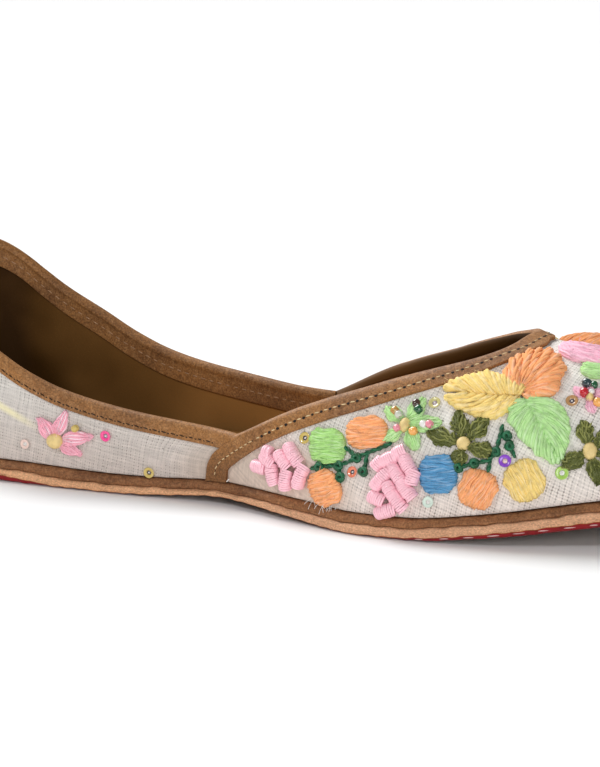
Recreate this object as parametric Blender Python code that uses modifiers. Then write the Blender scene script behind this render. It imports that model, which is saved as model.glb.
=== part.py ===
"""A punjabi jutti: a low cloth shoe with leather bindings, on a flat layered leather sole.

One shoe, in metres, +X from heel to toe and +Z up, standing on the floor at Z = 0 under its middle.
It is cut alike on both sides of its long axis, so it fits either foot. Each piece is a half, from the
axis out to +Y, mirrored. Sizes are in millimetres, and a station is a distance from the heel's back.
"""

import bmesh
import bpy
import numpy as np

MM = 0.001
LENGTH = 246.0             # outsole, heel to toe
WALL = 1.6                 # cloth, paste and leather lining of the upper
GAP = 0.3                  # left between pieces that touch
FEATHER_INSET = 2.2        # the upper stands this far inside the outsole's edge
INSOLE_INSET = FEATHER_INSET + WALL + 2 * GAP
BINDING_THICKNESS = 0.8
COLLAR_BINDING_WIDTH = 2.4  # leg of a binding outside the shoe, from the cut edge
VAMP_BINDING_WIDTH = 4.2
FACING_WIDTH = 5.2         # leg of a binding inside the shoe
STRIP_SPREAD = 0.95        # the vamp binding's width where it meets the sole, against the rest of it
COLLAR_END_CLEARANCE = 4.2  # collar binding to the vamp's edge, measured along the foot
HEEL_FOCUS = 34.0          # the heel's sections lean towards this station
TOE_FOCUS = 40.0           # the toe's sections lean towards a point this far behind the tip
FOLD_RADIUS = WALL / 2 + GAP

STEP = 1e-4                # for slopes of the upper's form, in radians and in rise
WALK_STEPS = 6
SHARP_ANGLE = np.radians(40)
MERGE = 1e-6               # metres


def table(names, rows):
    """A table as one array for each named column."""
    return dict(zip(names.split(), np.array(rows, float).T))


# The sole seen from above.
OUTLINE = table("station half_width", [
    (0, 0), (8, 19.2), (22, 28.5), (46, 31.2), (80, 29.4), (98, 27.8), (128, 35.5),
    (150, 40), (172, 38), (200, 28.5), (222, 18.5), (238, 10.5), (LENGTH, 0),
])
# The sole from the side: underside off the floor, flat under the heel and the ball, arched between
# and sprung at the toe; and the thickness of its layers, up to the foot of the upper.
SOLE = table("station underside thickness", [
    (0, 2.0, 5.4), (14, 0.2, 5.4), (25, 0, 5.4), (45, 0, 5.4), (70, 0, 4.7), (85, 0.4, 4.4),
    (106, 1.9, 3.8), (122, 1.4, 4.3), (134, 0.4, 5.0), (144, 0, 5.1), (160, 0, 5.3),
    (178, 1.6, 5.8), (205, 5.2, 6.4), (LENGTH, 11, 6.4),
])
# Ridge that the upper's sections rise to, how full they are (2 is a half ellipse), and how far
# their sides bow out over the narrow waist.
RIDGE = table("station height fullness bow", [
    (0, 120, 2.5, 0), (60, 110, 2.4, 0), (95, 78, 2.1, 4), (112, 65, 1.65, 4), (130, 56.5, 1.42, 1),
    (150, 50.5, 1.49, 0), (170, 44.9, 1.76, 0), (180, 43.4, 1.84, 0), (190, 42.6, 1.86, 0),
    (198, 41.2, 1.8, 0), (206, 39.4, 1.5, 0),
])
# Cut edge of the quarter, round the heel.
COLLAR = table("station height", [
    (0, 53.1), (10, 49.8), (20, 43.4), (30, 36.6), (41, 30.9), (50, 26.4), (60, 22.8),
    (70, 20.6), (80, 19.1), (90, 18), (100, 17), (120, 15.6),
])
# Cut edge of the vamp, from the sole (rise 0) to the middle of the throat (rise 1).
VAMP = table("rise station", [
    (0, 101.4), (0.03, 101.4), (0.06, 102.4), (0.09, 105.2), (0.135, 110.4), (0.2, 118.7), (0.327, 132),
    (0.516, 152), (0.734, 170.5), (0.877, 175.7), (0.95, 176.3), (1, 176.5),
])
# Edges of the flat layers: how far inside the outline, and how high as a share of the thickness.
OUTSOLE_EDGE = table("inset share", [(1.6, 0), (0.4, 0.16), (0, 0.28), (0.15, 0.5)])
MIDSOLE_EDGE = table("inset share", [(0.5, 0.57), (0.7, 0.65), (1.5, 0.91)])
INSOLE_EDGE = table("inset share", [(INSOLE_INSET, 0.98), (INSOLE_INSET + 1, 1.22)])

# Rows and columns of the meshes.
SLAB_COLUMNS = 44
WALL_ROWS = 11
QUARTER_COLUMNS, THROAT_COLUMNS, TOE_COLUMNS = 26, 20, 12
COLLAR_COLUMNS = 26
STRIP_COLUMNS, CURL_COLUMNS, BOUND_COLUMNS = 4, 4, 18
OUTER_ROWS, FOLD_ROWS, INNER_ROWS = 2, 2, 1
CURL_RISE = 0.07           # the vamp binding curls over the edge within this much rise

LEATHER_BROWN = (0.19, 0.095, 0.045)
LEATHER_TAN = (0.42, 0.22, 0.115)
LINING_BROWN = (0.075, 0.036, 0.016)
CLOTH_CREAM = (0.74, 0.71, 0.65)


def curve(rows, column, at, by="station"):
    """A table's column at the given places, on a monotone cubic through its rows."""
    x, y = rows[by], rows[column]
    width = np.diff(x)
    slope = np.diff(y) / width
    tangent = np.zeros_like(y)
    tangent[0], tangent[-1] = slope[0], slope[-1]
    for i in range(1, len(x) - 1):
        if slope[i - 1] * slope[i] > 0:
            near, far = 2 * width[i] + width[i - 1], width[i] + 2 * width[i - 1]
            tangent[i] = (near + far) / (near / slope[i - 1] + far / slope[i])
    at = np.clip(at, x[0], x[-1])
    i = np.clip(np.searchsorted(x, at, side="right") - 1, 0, len(x) - 2)
    t = (at - x[i]) / width[i]
    value = (2 * t**3 - 3 * t**2 + 1) * y[i] + (3 * t**2 - 2 * t**3) * y[i + 1]
    return value + width[i] * ((t**3 - 2 * t**2 + t) * tangent[i] + (t**3 - t**2) * tangent[i + 1])


def dot(a, b):
    return (a * b).sum(-1)


def unit(vectors):
    return vectors / np.linalg.norm(vectors, axis=-1, keepdims=True)


def station_at(angle):
    """Angles run from 0 at the heel's back to pi at the toe's tip, so that both ends are round."""
    return LENGTH / 2 * (1 - np.cos(angle))


def angle_at(station):
    return np.arccos(np.clip(1 - 2 * np.asarray(station, float) / LENGTH, -1, 1))


OUTLINE["angle"] = angle_at(OUTLINE["station"])


def outline(angle, inset=0.0):
    """Station and distance from the axis of the sole's edge, moved inwards."""
    def edge(turn):
        half = curve(OUTLINE, "half_width", np.arccos(np.cos(turn)), by="angle")
        return np.stack([station_at(turn), np.sign(np.sin(turn)) * half], -1)

    forward = unit(edge(angle + STEP) - edge(angle - STEP))
    inwards = np.stack([forward[..., 1], -forward[..., 0]], -1)
    return edge(angle) + inset * inwards


def sole_height(station, share):
    """Height in the sole: share 0 is its underside, and 1 the foot of the upper."""
    return curve(SOLE, "underside", station) + share * curve(SOLE, "thickness", station)


def form(angle, rise):
    """The upper's outer face: angle along the foot, rise from its foot (0) to the ridge (1)."""
    angle, rise = np.broadcast_arrays(np.asarray(angle, float), np.asarray(rise, float))
    foot = outline(angle, FEATHER_INSET)
    station = station_at(angle)
    heel_lean = np.clip(1 - station / (2 * HEEL_FOCUS), 0, None)
    toe_lean = np.clip(1 - (LENGTH - station) / (2 * TOE_FOCUS), 0, None)
    spine = station + HEEL_FOCUS * heel_lean**2 - TOE_FOCUS * toe_lean**2
    base = sole_height(foot[..., 0], 1)
    ridge = curve(RIDGE, "height", spine)
    fullness = curve(RIDGE, "fullness", spine)
    across, up = np.cos(rise * np.pi / 2), np.sin(rise * np.pi / 2)
    reach = (np.abs(across)**fullness + np.abs(up)**fullness)**(-1 / fullness)
    x = spine + (foot[..., 0] - spine) * np.abs(across) * reach
    bow = np.sign(foot[..., 1]) * curve(RIDGE, "bow", spine) * np.sin(np.pi * rise)
    y = foot[..., 1] * across * reach + bow
    return np.stack([x - LENGTH / 2, y, base + (ridge - base) * up * reach], -1)


def slopes(angle, rise):
    """Directions on the wall: along the foot and up."""
    along = form(angle + STEP, rise) - form(angle - STEP, rise)
    up = form(angle, rise + STEP) - form(angle, rise - STEP)
    return along / (2 * STEP), up / (2 * STEP)


def off_wall(angle, rise, distance):
    """Points at a distance from the upper's outer face, positive outside the shoe."""
    along, up = slopes(angle, rise)
    return form(angle, rise) + np.asarray(distance)[..., None] * unit(np.cross(up, along))


def walk(angle, rise, heading, distance):
    """Moves places on the wall by a distance, towards a heading laid onto the wall."""
    for _ in range(WALK_STEPS):
        along, up = slopes(angle, rise)
        size = dot(along, along) * dot(up, up) - dot(along, up)**2
        a = (dot(heading, along) * dot(up, up) - dot(heading, up) * dot(along, up)) / size
        b = (dot(heading, up) * dot(along, along) - dot(heading, along) * dot(along, up)) / size
        pace = distance / WALK_STEPS / np.linalg.norm(a[..., None] * along + b[..., None] * up, axis=-1)
        angle, rise = angle + a * pace, rise + b * pace
    return angle, rise


def rise_at(station, height):
    """The rise at which the wall at a station reaches a height."""
    low, high = np.zeros_like(station), np.ones_like(station)
    for _ in range(40):
        middle = (low + high) / 2
        below = form(angle_at(station), middle)[..., 2] < height
        low, high = np.where(below, middle, low), np.where(below, high, middle)
    return low


def collar_rise(station):
    return rise_at(station, curve(COLLAR, "height", station))


def vamp_station(rise):
    return curve(VAMP, "station", 1 - np.abs(1 - rise), by="rise")


def side_junction():
    """Station and rise where the collar's edge runs into the vamp's."""
    low, high = np.array(VAMP["station"][0]), np.array(COLLAR["station"][-1])
    for _ in range(40):
        middle = (low + high) / 2
        if vamp_station(collar_rise(middle)) > middle:
            low = middle
        else:
            high = middle
    return low, collar_rise(low)


JUNCTION_STATION, JUNCTION_RISE = side_junction()


def finish(name):
    """A Principled material for one piece."""
    colour, roughness = FINISHES[name]
    material = bpy.data.materials.new(name)
    material.use_nodes = True
    shader = material.node_tree.nodes["Principled BSDF"]
    shader.inputs["Base Color"].default_value = (*colour, 1)
    shader.inputs["Roughness"].default_value = roughness
    return material


FINISHES = {
    "outsole": (LEATHER_TAN, 0.7),
    "midsole": (LEATHER_BROWN, 0.6),
    "insole": (LINING_BROWN, 0.65),
    "upper": (CLOTH_CREAM, 0.9),
    "collar_binding": (LEATHER_BROWN, 0.6),
    "vamp_binding": (LEATHER_BROWN, 0.6),
}


def mirrored_sheet(name, points, collection):
    """An object through a grid of points, columns by rows, mirrored to the other side of the axis.

    Points that are not numbers are left out of the sheet.
    """
    columns, rows = points.shape[:2]
    shape = bmesh.new()
    bmesh.ops.create_grid(shape, x_segments=rows - 1, y_segments=columns - 1, size=1)
    left_out = []
    for vertex in shape.verts:
        row = round((vertex.co.x + 1) / 2 * (rows - 1))
        column = round((vertex.co.y + 1) / 2 * (columns - 1))
        point = points[column, row] * MM
        if np.isnan(point).any():
            left_out.append(vertex)
        else:
            vertex.co = point
    bmesh.ops.delete(shape, geom=left_out, context="VERTS")
    bmesh.ops.remove_doubles(shape, verts=shape.verts, dist=MERGE)
    mesh = bpy.data.meshes.new(name)
    shape.to_mesh(mesh)
    shape.free()
    mesh.shade_smooth()
    mesh.set_sharp_from_angle(angle=SHARP_ANGLE)
    mesh.materials.append(finish(name))
    piece = bpy.data.objects.new(name, mesh)
    collection.objects.link(piece)
    mirror = piece.modifiers.new("other side", "MIRROR")
    mirror.use_axis = (False, True, False)
    mirror.merge_threshold = 0.0001
    return piece


def thicken(piece, thickness, side):
    """Gives a sheet its thickness, on the side its faces point to (1) or behind them (-1)."""
    solid = piece.modifiers.new("thickness", "SOLIDIFY")
    solid.thickness = thickness * MM
    solid.offset = side
    solid.use_even_offset = True


def make_slab(name, edge, collection):
    """A flat layer of the sole: centre of its underside, its edge, centre of its top."""
    angle = np.linspace(0, np.pi, SLAB_COLUMNS + 1)
    rows = []
    for inset, share in zip(edge["inset"], edge["share"]):
        rim = outline(angle, inset)
        rows.append(np.stack([rim[:, 0] - LENGTH / 2, rim[:, 1], sole_height(rim[:, 0], share)], -1))
    to_axis = np.array([1, 0, 1])
    mirrored_sheet(name, np.stack([rows[0] * to_axis, *rows, rows[-1] * to_axis], 1), collection)


def make_upper(collection):
    """Hollow shell of quarters and vamp in one, open at the throat and underneath."""
    quarter = station_at(np.linspace(0, angle_at(JUNCTION_STATION), QUARTER_COLUMNS + 1))
    throat_rise = np.linspace(JUNCTION_RISE, 1, THROAT_COLUMNS + 1)[1:]
    toe = station_at(np.linspace(angle_at(VAMP["station"][-1]), np.pi, TOE_COLUMNS + 1)[1:])
    station = np.concatenate([quarter, vamp_station(throat_rise), toe])
    top = np.concatenate([collar_rise(quarter), throat_rise, np.ones_like(toe)])
    share = np.linspace(0, 1, WALL_ROWS + 1)
    points = form(angle_at(station)[:, None], top[:, None] * share)
    thicken(mirrored_sheet("upper", points, collection), WALL, -1)


def fold_section(width, curl=1.0):
    """A binding's cross-section, as distance in from the cut edge and distance off the wall.

    Up its outer leg, round the edge and down its inner leg. Less curl flattens the turn outside.
    """
    outer = [(reach, GAP) for reach in np.linspace(width, 0, OUTER_ROWS + 1)]
    turn = []
    for angle in np.linspace(0, np.pi / 2, FOLD_ROWS + 1)[1:]:
        radius = FOLD_RADIUS / curl
        turn.append((-radius * np.sin(angle * curl), GAP - radius * (1 - np.cos(angle * curl))))
    back = [(reach, -WALL - 2 * GAP - off) for reach, off in turn[-2::-1]]
    inner = [(reach, -WALL - GAP) for reach in np.linspace(0, FACING_WIDTH, INNER_ROWS + 1)]
    return np.array(outer + turn + back + inner)


def make_collar_binding(collection):
    """Channel of leather over the quarter's edge, round the heel to the vamp on each side."""
    share = np.linspace(0, 1, COLLAR_COLUMNS + 1)
    junction_height = curve(COLLAR, "height", JUNCTION_STATION)
    rows = []
    for row, (reach, off) in enumerate(fold_section(COLLAR_BINDING_WIDTH)):
        drop = reach if row <= OUTER_ROWS else 0.0
        end = vamp_station(rise_at(JUNCTION_STATION, junction_height - drop)) - COLLAR_END_CLEARANCE
        station = station_at(share * angle_at(end))
        angle, rise = angle_at(station), collar_rise(station)
        down = -slopes(angle, rise)[1]
        angle, rise = walk(angle, rise, down, reach)
        rows.append(off_wall(angle, rise, off))
    thicken(mirrored_sheet("collar_binding", np.stack(rows, 1), collection), BINDING_THICKNESS, 1)


def make_vamp_binding(collection):
    """Leather over the vamp's edge, from the sole up each side and round the throat.

    Up to the junction it lies flat on the quarter, and from there it curls over the edge.
    """
    curled_rise = JUNCTION_RISE + CURL_RISE
    rise = np.concatenate([
        np.linspace(0, JUNCTION_RISE, STRIP_COLUMNS + 1),
        np.linspace(JUNCTION_RISE, curled_rise, CURL_COLUMNS + 1)[1:],
        np.linspace(curled_rise, 1, BOUND_COLUMNS + 1)[1:],
    ])
    angle = angle_at(vamp_station(rise))
    along, up = slopes(angle, rise)
    edge = form(angle_at(vamp_station(rise + STEP)), rise + STEP)
    edge -= form(angle_at(vamp_station(rise - STEP)), rise - STEP)
    across = unit(np.cross(unit(np.cross(up, along)), edge))
    from_sole = np.clip(rise / JUNCTION_RISE, 0, 1)
    heading = unit(unit(along) * (1 - from_sole)[:, None] + across * from_sole[:, None])
    spread = STRIP_SPREAD + (1 - STRIP_SPREAD) * from_sole
    curl = np.clip((rise - JUNCTION_RISE) / CURL_RISE, STEP, 1)
    columns = []
    for i in range(len(rise)):
        reach, off = fold_section(VAMP_BINDING_WIDTH, curl[i]).T
        place = np.full_like(reach, angle[i]), np.full_like(reach, rise[i])
        column = off_wall(*walk(*place, np.tile(heading[i], (len(reach), 1)), reach * spread[i]), off)
        if curl[i] < 1:
            column[OUTER_ROWS + FOLD_ROWS + 1:] = np.nan
        columns.append(column)
    thicken(mirrored_sheet("vamp_binding", np.stack(columns), collection), BINDING_THICKNESS, 1)


def main():
    for leftover in list(bpy.data.objects):
        bpy.data.objects.remove(leftover)
    collection = bpy.data.collections.new("punjabi_jutti")
    bpy.context.scene.collection.children.link(collection)
    make_slab("outsole", OUTSOLE_EDGE, collection)
    make_slab("midsole", MIDSOLE_EDGE, collection)
    make_slab("insole", INSOLE_EDGE, collection)
    make_upper(collection)
    make_collar_binding(collection)
    make_vamp_binding(collection)


main()
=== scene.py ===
"""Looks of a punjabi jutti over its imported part: cloth, leather, stitches and embroidery, on a white floor.

Sizes are in millimetres and become metres where a mesh is made. A station is a distance from the heel's
back, and a spot is a pixel of the photograph, counted from its top left corner.
"""

import bpy
import numpy as np
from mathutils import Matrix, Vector
from mathutils.bvhtree import BVHTree


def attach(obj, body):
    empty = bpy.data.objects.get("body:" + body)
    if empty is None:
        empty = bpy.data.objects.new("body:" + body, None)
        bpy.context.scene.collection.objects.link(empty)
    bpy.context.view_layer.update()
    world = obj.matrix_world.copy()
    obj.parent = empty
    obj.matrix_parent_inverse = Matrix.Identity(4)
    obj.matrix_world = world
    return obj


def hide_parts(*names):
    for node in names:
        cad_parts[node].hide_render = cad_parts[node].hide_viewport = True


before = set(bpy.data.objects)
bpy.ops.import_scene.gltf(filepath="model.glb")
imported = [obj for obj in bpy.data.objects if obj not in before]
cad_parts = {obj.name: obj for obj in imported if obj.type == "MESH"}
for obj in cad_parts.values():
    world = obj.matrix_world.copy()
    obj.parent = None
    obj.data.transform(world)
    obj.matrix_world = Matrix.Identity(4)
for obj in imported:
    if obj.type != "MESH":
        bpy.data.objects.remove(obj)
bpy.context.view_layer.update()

MM = 0.001
CHANCE = np.random.default_rng(5)

# The photograph and the camera that took it
PHOTO_WIDTH, PHOTO_HEIGHT = 600, 767
AZIMUTH, ELEVATION = np.radians(27), np.radians(12.5)
DISTANCE = 1200.0
FOCAL_PIXELS = 4800.0
AIM_POINT = np.array([-13.5, 0, 18.5])
AIM_SPOT = np.array([290, 411.5])
SENSOR = 36.0
CLIP_START, CLIP_END = 0.05, 50
MM_PER_PIXEL = DISTANCE / FOCAL_PIXELS

# Sizes of the shoe
LENGTH = 246.0
WALL = 1.6
FEATHER_INSET = 2.2
INSOLE_INSET = 4.4
CLOTH_THICKNESS, LINING_THICKNESS, LINING_OFFSET = 0.8, 0.7, -0.85
COLLAR_THICKNESS, VAMP_THICKNESS = 0.65, 0.85
BINDING_GAP = 0.1
COLLAR_BINDING_WIDTH = 2.4
COLLAR_FOLD = 1.39
FACING_WIDTH = 5.2
COLLAR_END_CLEARANCE = -0.6
HEEL_FOCUS, TOE_FOCUS = 34.0, 40.0
FOLD_RADIUS = WALL / 2 + BINDING_GAP
CURL_RISE, FACING_RISE = 0.03, 0.1
STEP = 1e-4
WALK_STEPS, HALVINGS = 6, 40
WELD_DISTANCE, MIRROR_MERGE = 0.001, 0.05
OTHER_SIDE = np.array([1, -1, 1])


def table(names, rows):
    """A table as one array for each named column."""
    return dict(zip(names.split(), np.array(rows, float).T))


def listed(names, rows):
    """A table as one dictionary for each row."""
    return [dict(zip(names.split(), row)) for row in rows]


OUTLINE = table("station half_width", [
    (0, 0), (8, 19.2), (22, 28.5), (46, 31.2), (80, 29.4), (98, 27.8), (128, 35.5),
    (150, 40), (172, 38), (200, 28.5), (222, 18.5), (238, 10.5), (LENGTH, 0),
])
SOLE = table("station underside thickness", [
    (0, 2.0, 5.4), (14, 0.2, 5.4), (25, 0, 5.4), (45, 0, 5.4), (70, 0, 4.7), (85, 0.4, 4.4),
    (106, 1.9, 3.8), (122, 1.4, 4.3), (134, 0.4, 5.0), (144, 0, 5.1), (160, 0, 5.3),
    (178, 1.6, 5.8), (205, 5.2, 6.4), (LENGTH, 11, 6.4),
])
RIDGE = table("station height fullness bow", [
    (0, 120, 2.5, 0), (60, 110, 2.4, 0), (95, 78, 2.1, 4), (112, 65, 1.65, 4), (130, 56.5, 1.42, 1),
    (150, 50.5, 1.49, 0), (170, 44.9, 1.76, 0), (180, 43.4, 1.84, 0), (190, 42.6, 1.86, 0),
    (198, 41.2, 1.8, 0), (206, 39.4, 1.5, 0),
])
COLLAR = table("station height", [
    (0, 53.1), (10, 49.8), (20, 43.4), (30, 36.6), (41, 30.9), (50, 26.4), (60, 22.8),
    (70, 20.6), (80, 19.1), (90, 18), (100, 17), (120, 15.6),
])
VAMP = table("rise station", [
    (0, 101.4), (0.03, 101.4), (0.06, 102.4), (0.09, 105.2), (0.135, 110.4), (0.2, 118.7), (0.327, 132),
    (0.516, 152), (0.734, 170.5), (0.877, 175.7), (0.95, 176.3), (1, 176.5),
])
# The vamp's binding: where its lower edge and its stitches lie, from the cut edge, and its fold's height.
BINDING = table("rise edge stitch fold", [
    (0, 4.3, 0.6, 1.4), (0.03, 4.7, 1.25, 1.0), (0.06, 5.2, 2.1, 0.64), (0.09, 4.9, 2.34, 0.4),
    (0.12, 4.75, 2.36, 0.28), (0.15, 4.4, 2.15, 0.35), (0.2, 3.6, 1.45, 0.95), (0.25, 3.45, 1.15, 1.3),
    (0.3, 3.6, 1.2, 1.5), (0.4, 3.45, 1.1, 2.0), (0.5, 3.4, 1.2, 2.2), (0.6, 3.5, 1.15, 2.0),
    (0.7, 3.5, 0.95, 1.6), (0.8, 3.8, 1.35, 0.85), (0.85, 4.15, 2.0, 0.8), (0.9, 5.3, 2.65, 0.5),
    (0.94, 5.65, 2.9, 0.4), (1, 4.85, 3.05, 0.3),
])
# The far side of the throat stands a little higher than the near one. The lift begins at a distance
# from the axis and at a height, and is whole after another distance.
FAR_LIFT = table("station lift", [
    (145, 0), (158, 0.8), (166, 1.3), (171, 1.2), (175, 0.4), (178, 0),
])
LIFT_ACROSS, LIFT_UP = (2, 11), (12, 20)
# Where the tan edge meets the brown band, and where the red paint ends, as shares of the sole's height.
SOLE_LINES = table("station border paint", [
    (0, 0.6, 0.24), (44, 0.6, 0.22), (54, 0.5, 0.1), (60, 0.47, 0.015), (90, 0.44, 0.012),
    (108, 0.4, 0.012), (122, 0.47, 0.012), (140, 0.5, 0.015), (156, 0.54, 0.04), (164, 0.57, 0.11),
    (176, 0.61, 0.14), (190, 0.61, 0.18), (LENGTH, 0.6, 0.2),
])


def curve(rows, column, at, by="station"):
    """A table's column at the given places, on a monotone cubic through its rows."""
    x, y = rows[by], rows[column]
    width = np.diff(x)
    slope = np.diff(y) / width
    tangent = np.zeros_like(y)
    tangent[0], tangent[-1] = slope[0], slope[-1]
    for i in range(1, len(x) - 1):
        if slope[i - 1] * slope[i] > 0:
            near, far = 2 * width[i] + width[i - 1], width[i] + 2 * width[i - 1]
            tangent[i] = (near + far) / (near / slope[i - 1] + far / slope[i])
    at = np.clip(at, x[0], x[-1])
    i = np.clip(np.searchsorted(x, at, side="right") - 1, 0, len(x) - 2)
    t = (at - x[i]) / width[i]
    value = (2 * t**3 - 3 * t**2 + 1) * y[i] + (3 * t**2 - 2 * t**3) * y[i + 1]
    return value + width[i] * ((t**3 - 2 * t**2 + t) * tangent[i] + (t**3 - t**2) * tangent[i + 1])


def dot(a, b):
    return (a * b).sum(-1)


def unit(vectors):
    return vectors / np.linalg.norm(vectors, axis=-1, keepdims=True)


def ease(share):
    """A share from 0 to 1, smooth at both ends."""
    share = np.clip(share, 0, 1)
    return share * share * (3 - 2 * share)


def grown(value, start, length):
    """0 up to a start, then growing to 1 over a length."""
    return ease((value - start) / length)


def darker(colour, share):
    return tuple(share * c for c in colour)


def paler(colour, share):
    return tuple(c + (1 - c) * share for c in colour)


def station_at(angle):
    return LENGTH / 2 * (1 - np.cos(angle))


def angle_at(station):
    return np.arccos(np.clip(1 - 2 * np.asarray(station, float) / LENGTH, -1, 1))


OUTLINE["angle"] = angle_at(OUTLINE["station"])


def outline(angle, inset=0.0):
    """Station and distance from the axis of the sole's edge, moved inwards."""
    def edge(turn):
        half = curve(OUTLINE, "half_width", np.arccos(np.cos(turn)), by="angle")
        return np.stack([station_at(turn), np.sign(np.sin(turn)) * half], -1)

    forward = unit(edge(angle + STEP) - edge(angle - STEP))
    inwards = np.stack([forward[..., 1], -forward[..., 0]], -1)
    return edge(angle) + np.asarray(inset)[..., None] * inwards


def sole_height(station, share):
    return curve(SOLE, "underside", station) + share * curve(SOLE, "thickness", station)


def form(angle, rise):
    """The upper's outer face: angle along the foot, rise from its foot (0) to the ridge (1)."""
    angle, rise = np.broadcast_arrays(np.asarray(angle, float), np.asarray(rise, float))
    foot = outline(angle, FEATHER_INSET)
    station = station_at(angle)
    heel_lean = np.clip(1 - station / (2 * HEEL_FOCUS), 0, None)
    toe_lean = np.clip(1 - (LENGTH - station) / (2 * TOE_FOCUS), 0, None)
    spine = station + HEEL_FOCUS * heel_lean**2 - TOE_FOCUS * toe_lean**2
    base = sole_height(foot[..., 0], 1)
    ridge = curve(RIDGE, "height", spine)
    fullness = curve(RIDGE, "fullness", spine)
    across, up = np.cos(rise * np.pi / 2), np.sin(rise * np.pi / 2)
    reach = (np.abs(across)**fullness + np.abs(up)**fullness)**(-1 / fullness)
    x = spine + (foot[..., 0] - spine) * np.abs(across) * reach
    bow = np.sign(foot[..., 1]) * curve(RIDGE, "bow", spine) * np.sin(np.pi * rise)
    y = foot[..., 1] * across * reach + bow
    return np.stack([x - LENGTH / 2, y, base + (ridge - base) * up * reach], -1)


def slopes(angle, rise):
    """Directions on the wall: along the foot and up."""
    along = form(angle + STEP, rise) - form(angle - STEP, rise)
    up = form(angle, rise + STEP) - form(angle, rise - STEP)
    return along / (2 * STEP), up / (2 * STEP)


def wall_normal(angle, rise):
    along, up = slopes(angle, rise)
    return unit(np.cross(up, along))


def off_wall(angle, rise, distance):
    """Points at a distance from the upper's outer face, positive outside the shoe."""
    return form(angle, rise) + np.asarray(distance)[..., None] * wall_normal(angle, rise)


def components(vector, along, up):
    """How much of two directions on the wall makes up a vector laid onto it."""
    size = dot(along, along) * dot(up, up) - dot(along, up)**2
    a = (dot(vector, along) * dot(up, up) - dot(vector, up) * dot(along, up)) / size
    b = (dot(vector, up) * dot(along, along) - dot(vector, along) * dot(along, up)) / size
    return a, b


def walk(angle, rise, heading, distance):
    """Moves places on the wall by a distance, towards a heading laid onto the wall."""
    for _ in range(WALK_STEPS):
        along, up = slopes(angle, rise)
        a, b = components(heading, along, up)
        pace = distance / WALK_STEPS / np.linalg.norm(a[..., None] * along + b[..., None] * up, axis=-1)
        angle, rise = angle + a * pace, rise + b * pace
    return angle, rise


def rise_at(station, height):
    """The rise at which the wall at a station reaches a height."""
    low, high = np.zeros_like(station), np.ones_like(station)
    for _ in range(HALVINGS):
        middle = (low + high) / 2
        below = form(angle_at(station), middle)[..., 2] < height
        low, high = np.where(below, middle, low), np.where(below, high, middle)
    return low


def collar_rise(station):
    return rise_at(station, curve(COLLAR, "height", station))


def vamp_station(rise):
    return curve(VAMP, "station", 1 - np.abs(1 - rise), by="rise")


def side_junction():
    """Station and rise where the collar's edge runs into the vamp's."""
    low, high = np.array(VAMP["station"][0]), np.array(COLLAR["station"][-1])
    for _ in range(HALVINGS):
        middle = (low + high) / 2
        if vamp_station(collar_rise(middle)) > middle:
            low = middle
        else:
            high = middle
    return low, collar_rise(low)


JUNCTION_STATION, JUNCTION_RISE = side_junction()


# Camera, as the photograph was taken
CAMERA_BACK = np.array([
    np.sin(AZIMUTH) * np.cos(ELEVATION), -np.cos(AZIMUTH) * np.cos(ELEVATION), np.sin(ELEVATION),
])
CAMERA_RIGHT = np.array([np.cos(AZIMUTH), np.sin(AZIMUTH), 0])
CAMERA_UP = np.cross(CAMERA_BACK, CAMERA_RIGHT)
PHOTO_CENTRE = np.array([PHOTO_WIDTH, PHOTO_HEIGHT]) / 2
AIM = AIM_POINT + MM_PER_PIXEL * (
    (PHOTO_CENTRE - AIM_SPOT)[0] * CAMERA_RIGHT - (PHOTO_CENTRE - AIM_SPOT)[1] * CAMERA_UP
)
EYE = AIM + DISTANCE * CAMERA_BACK


def facing(heading):
    """The turn of a camera or lamp that looks along a heading."""
    return Vector(heading).to_track_quat("-Z", "Y").to_euler()


def make_camera():
    bpy.ops.object.camera_add(location=EYE * MM)
    camera = bpy.context.object
    camera.rotation_euler = facing(-CAMERA_BACK)
    camera.data.sensor_width = SENSOR
    camera.data.lens = FOCAL_PIXELS / PHOTO_HEIGHT * SENSOR
    camera.data.clip_start, camera.data.clip_end = CLIP_START, CLIP_END
    bpy.context.scene.camera = camera


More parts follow.
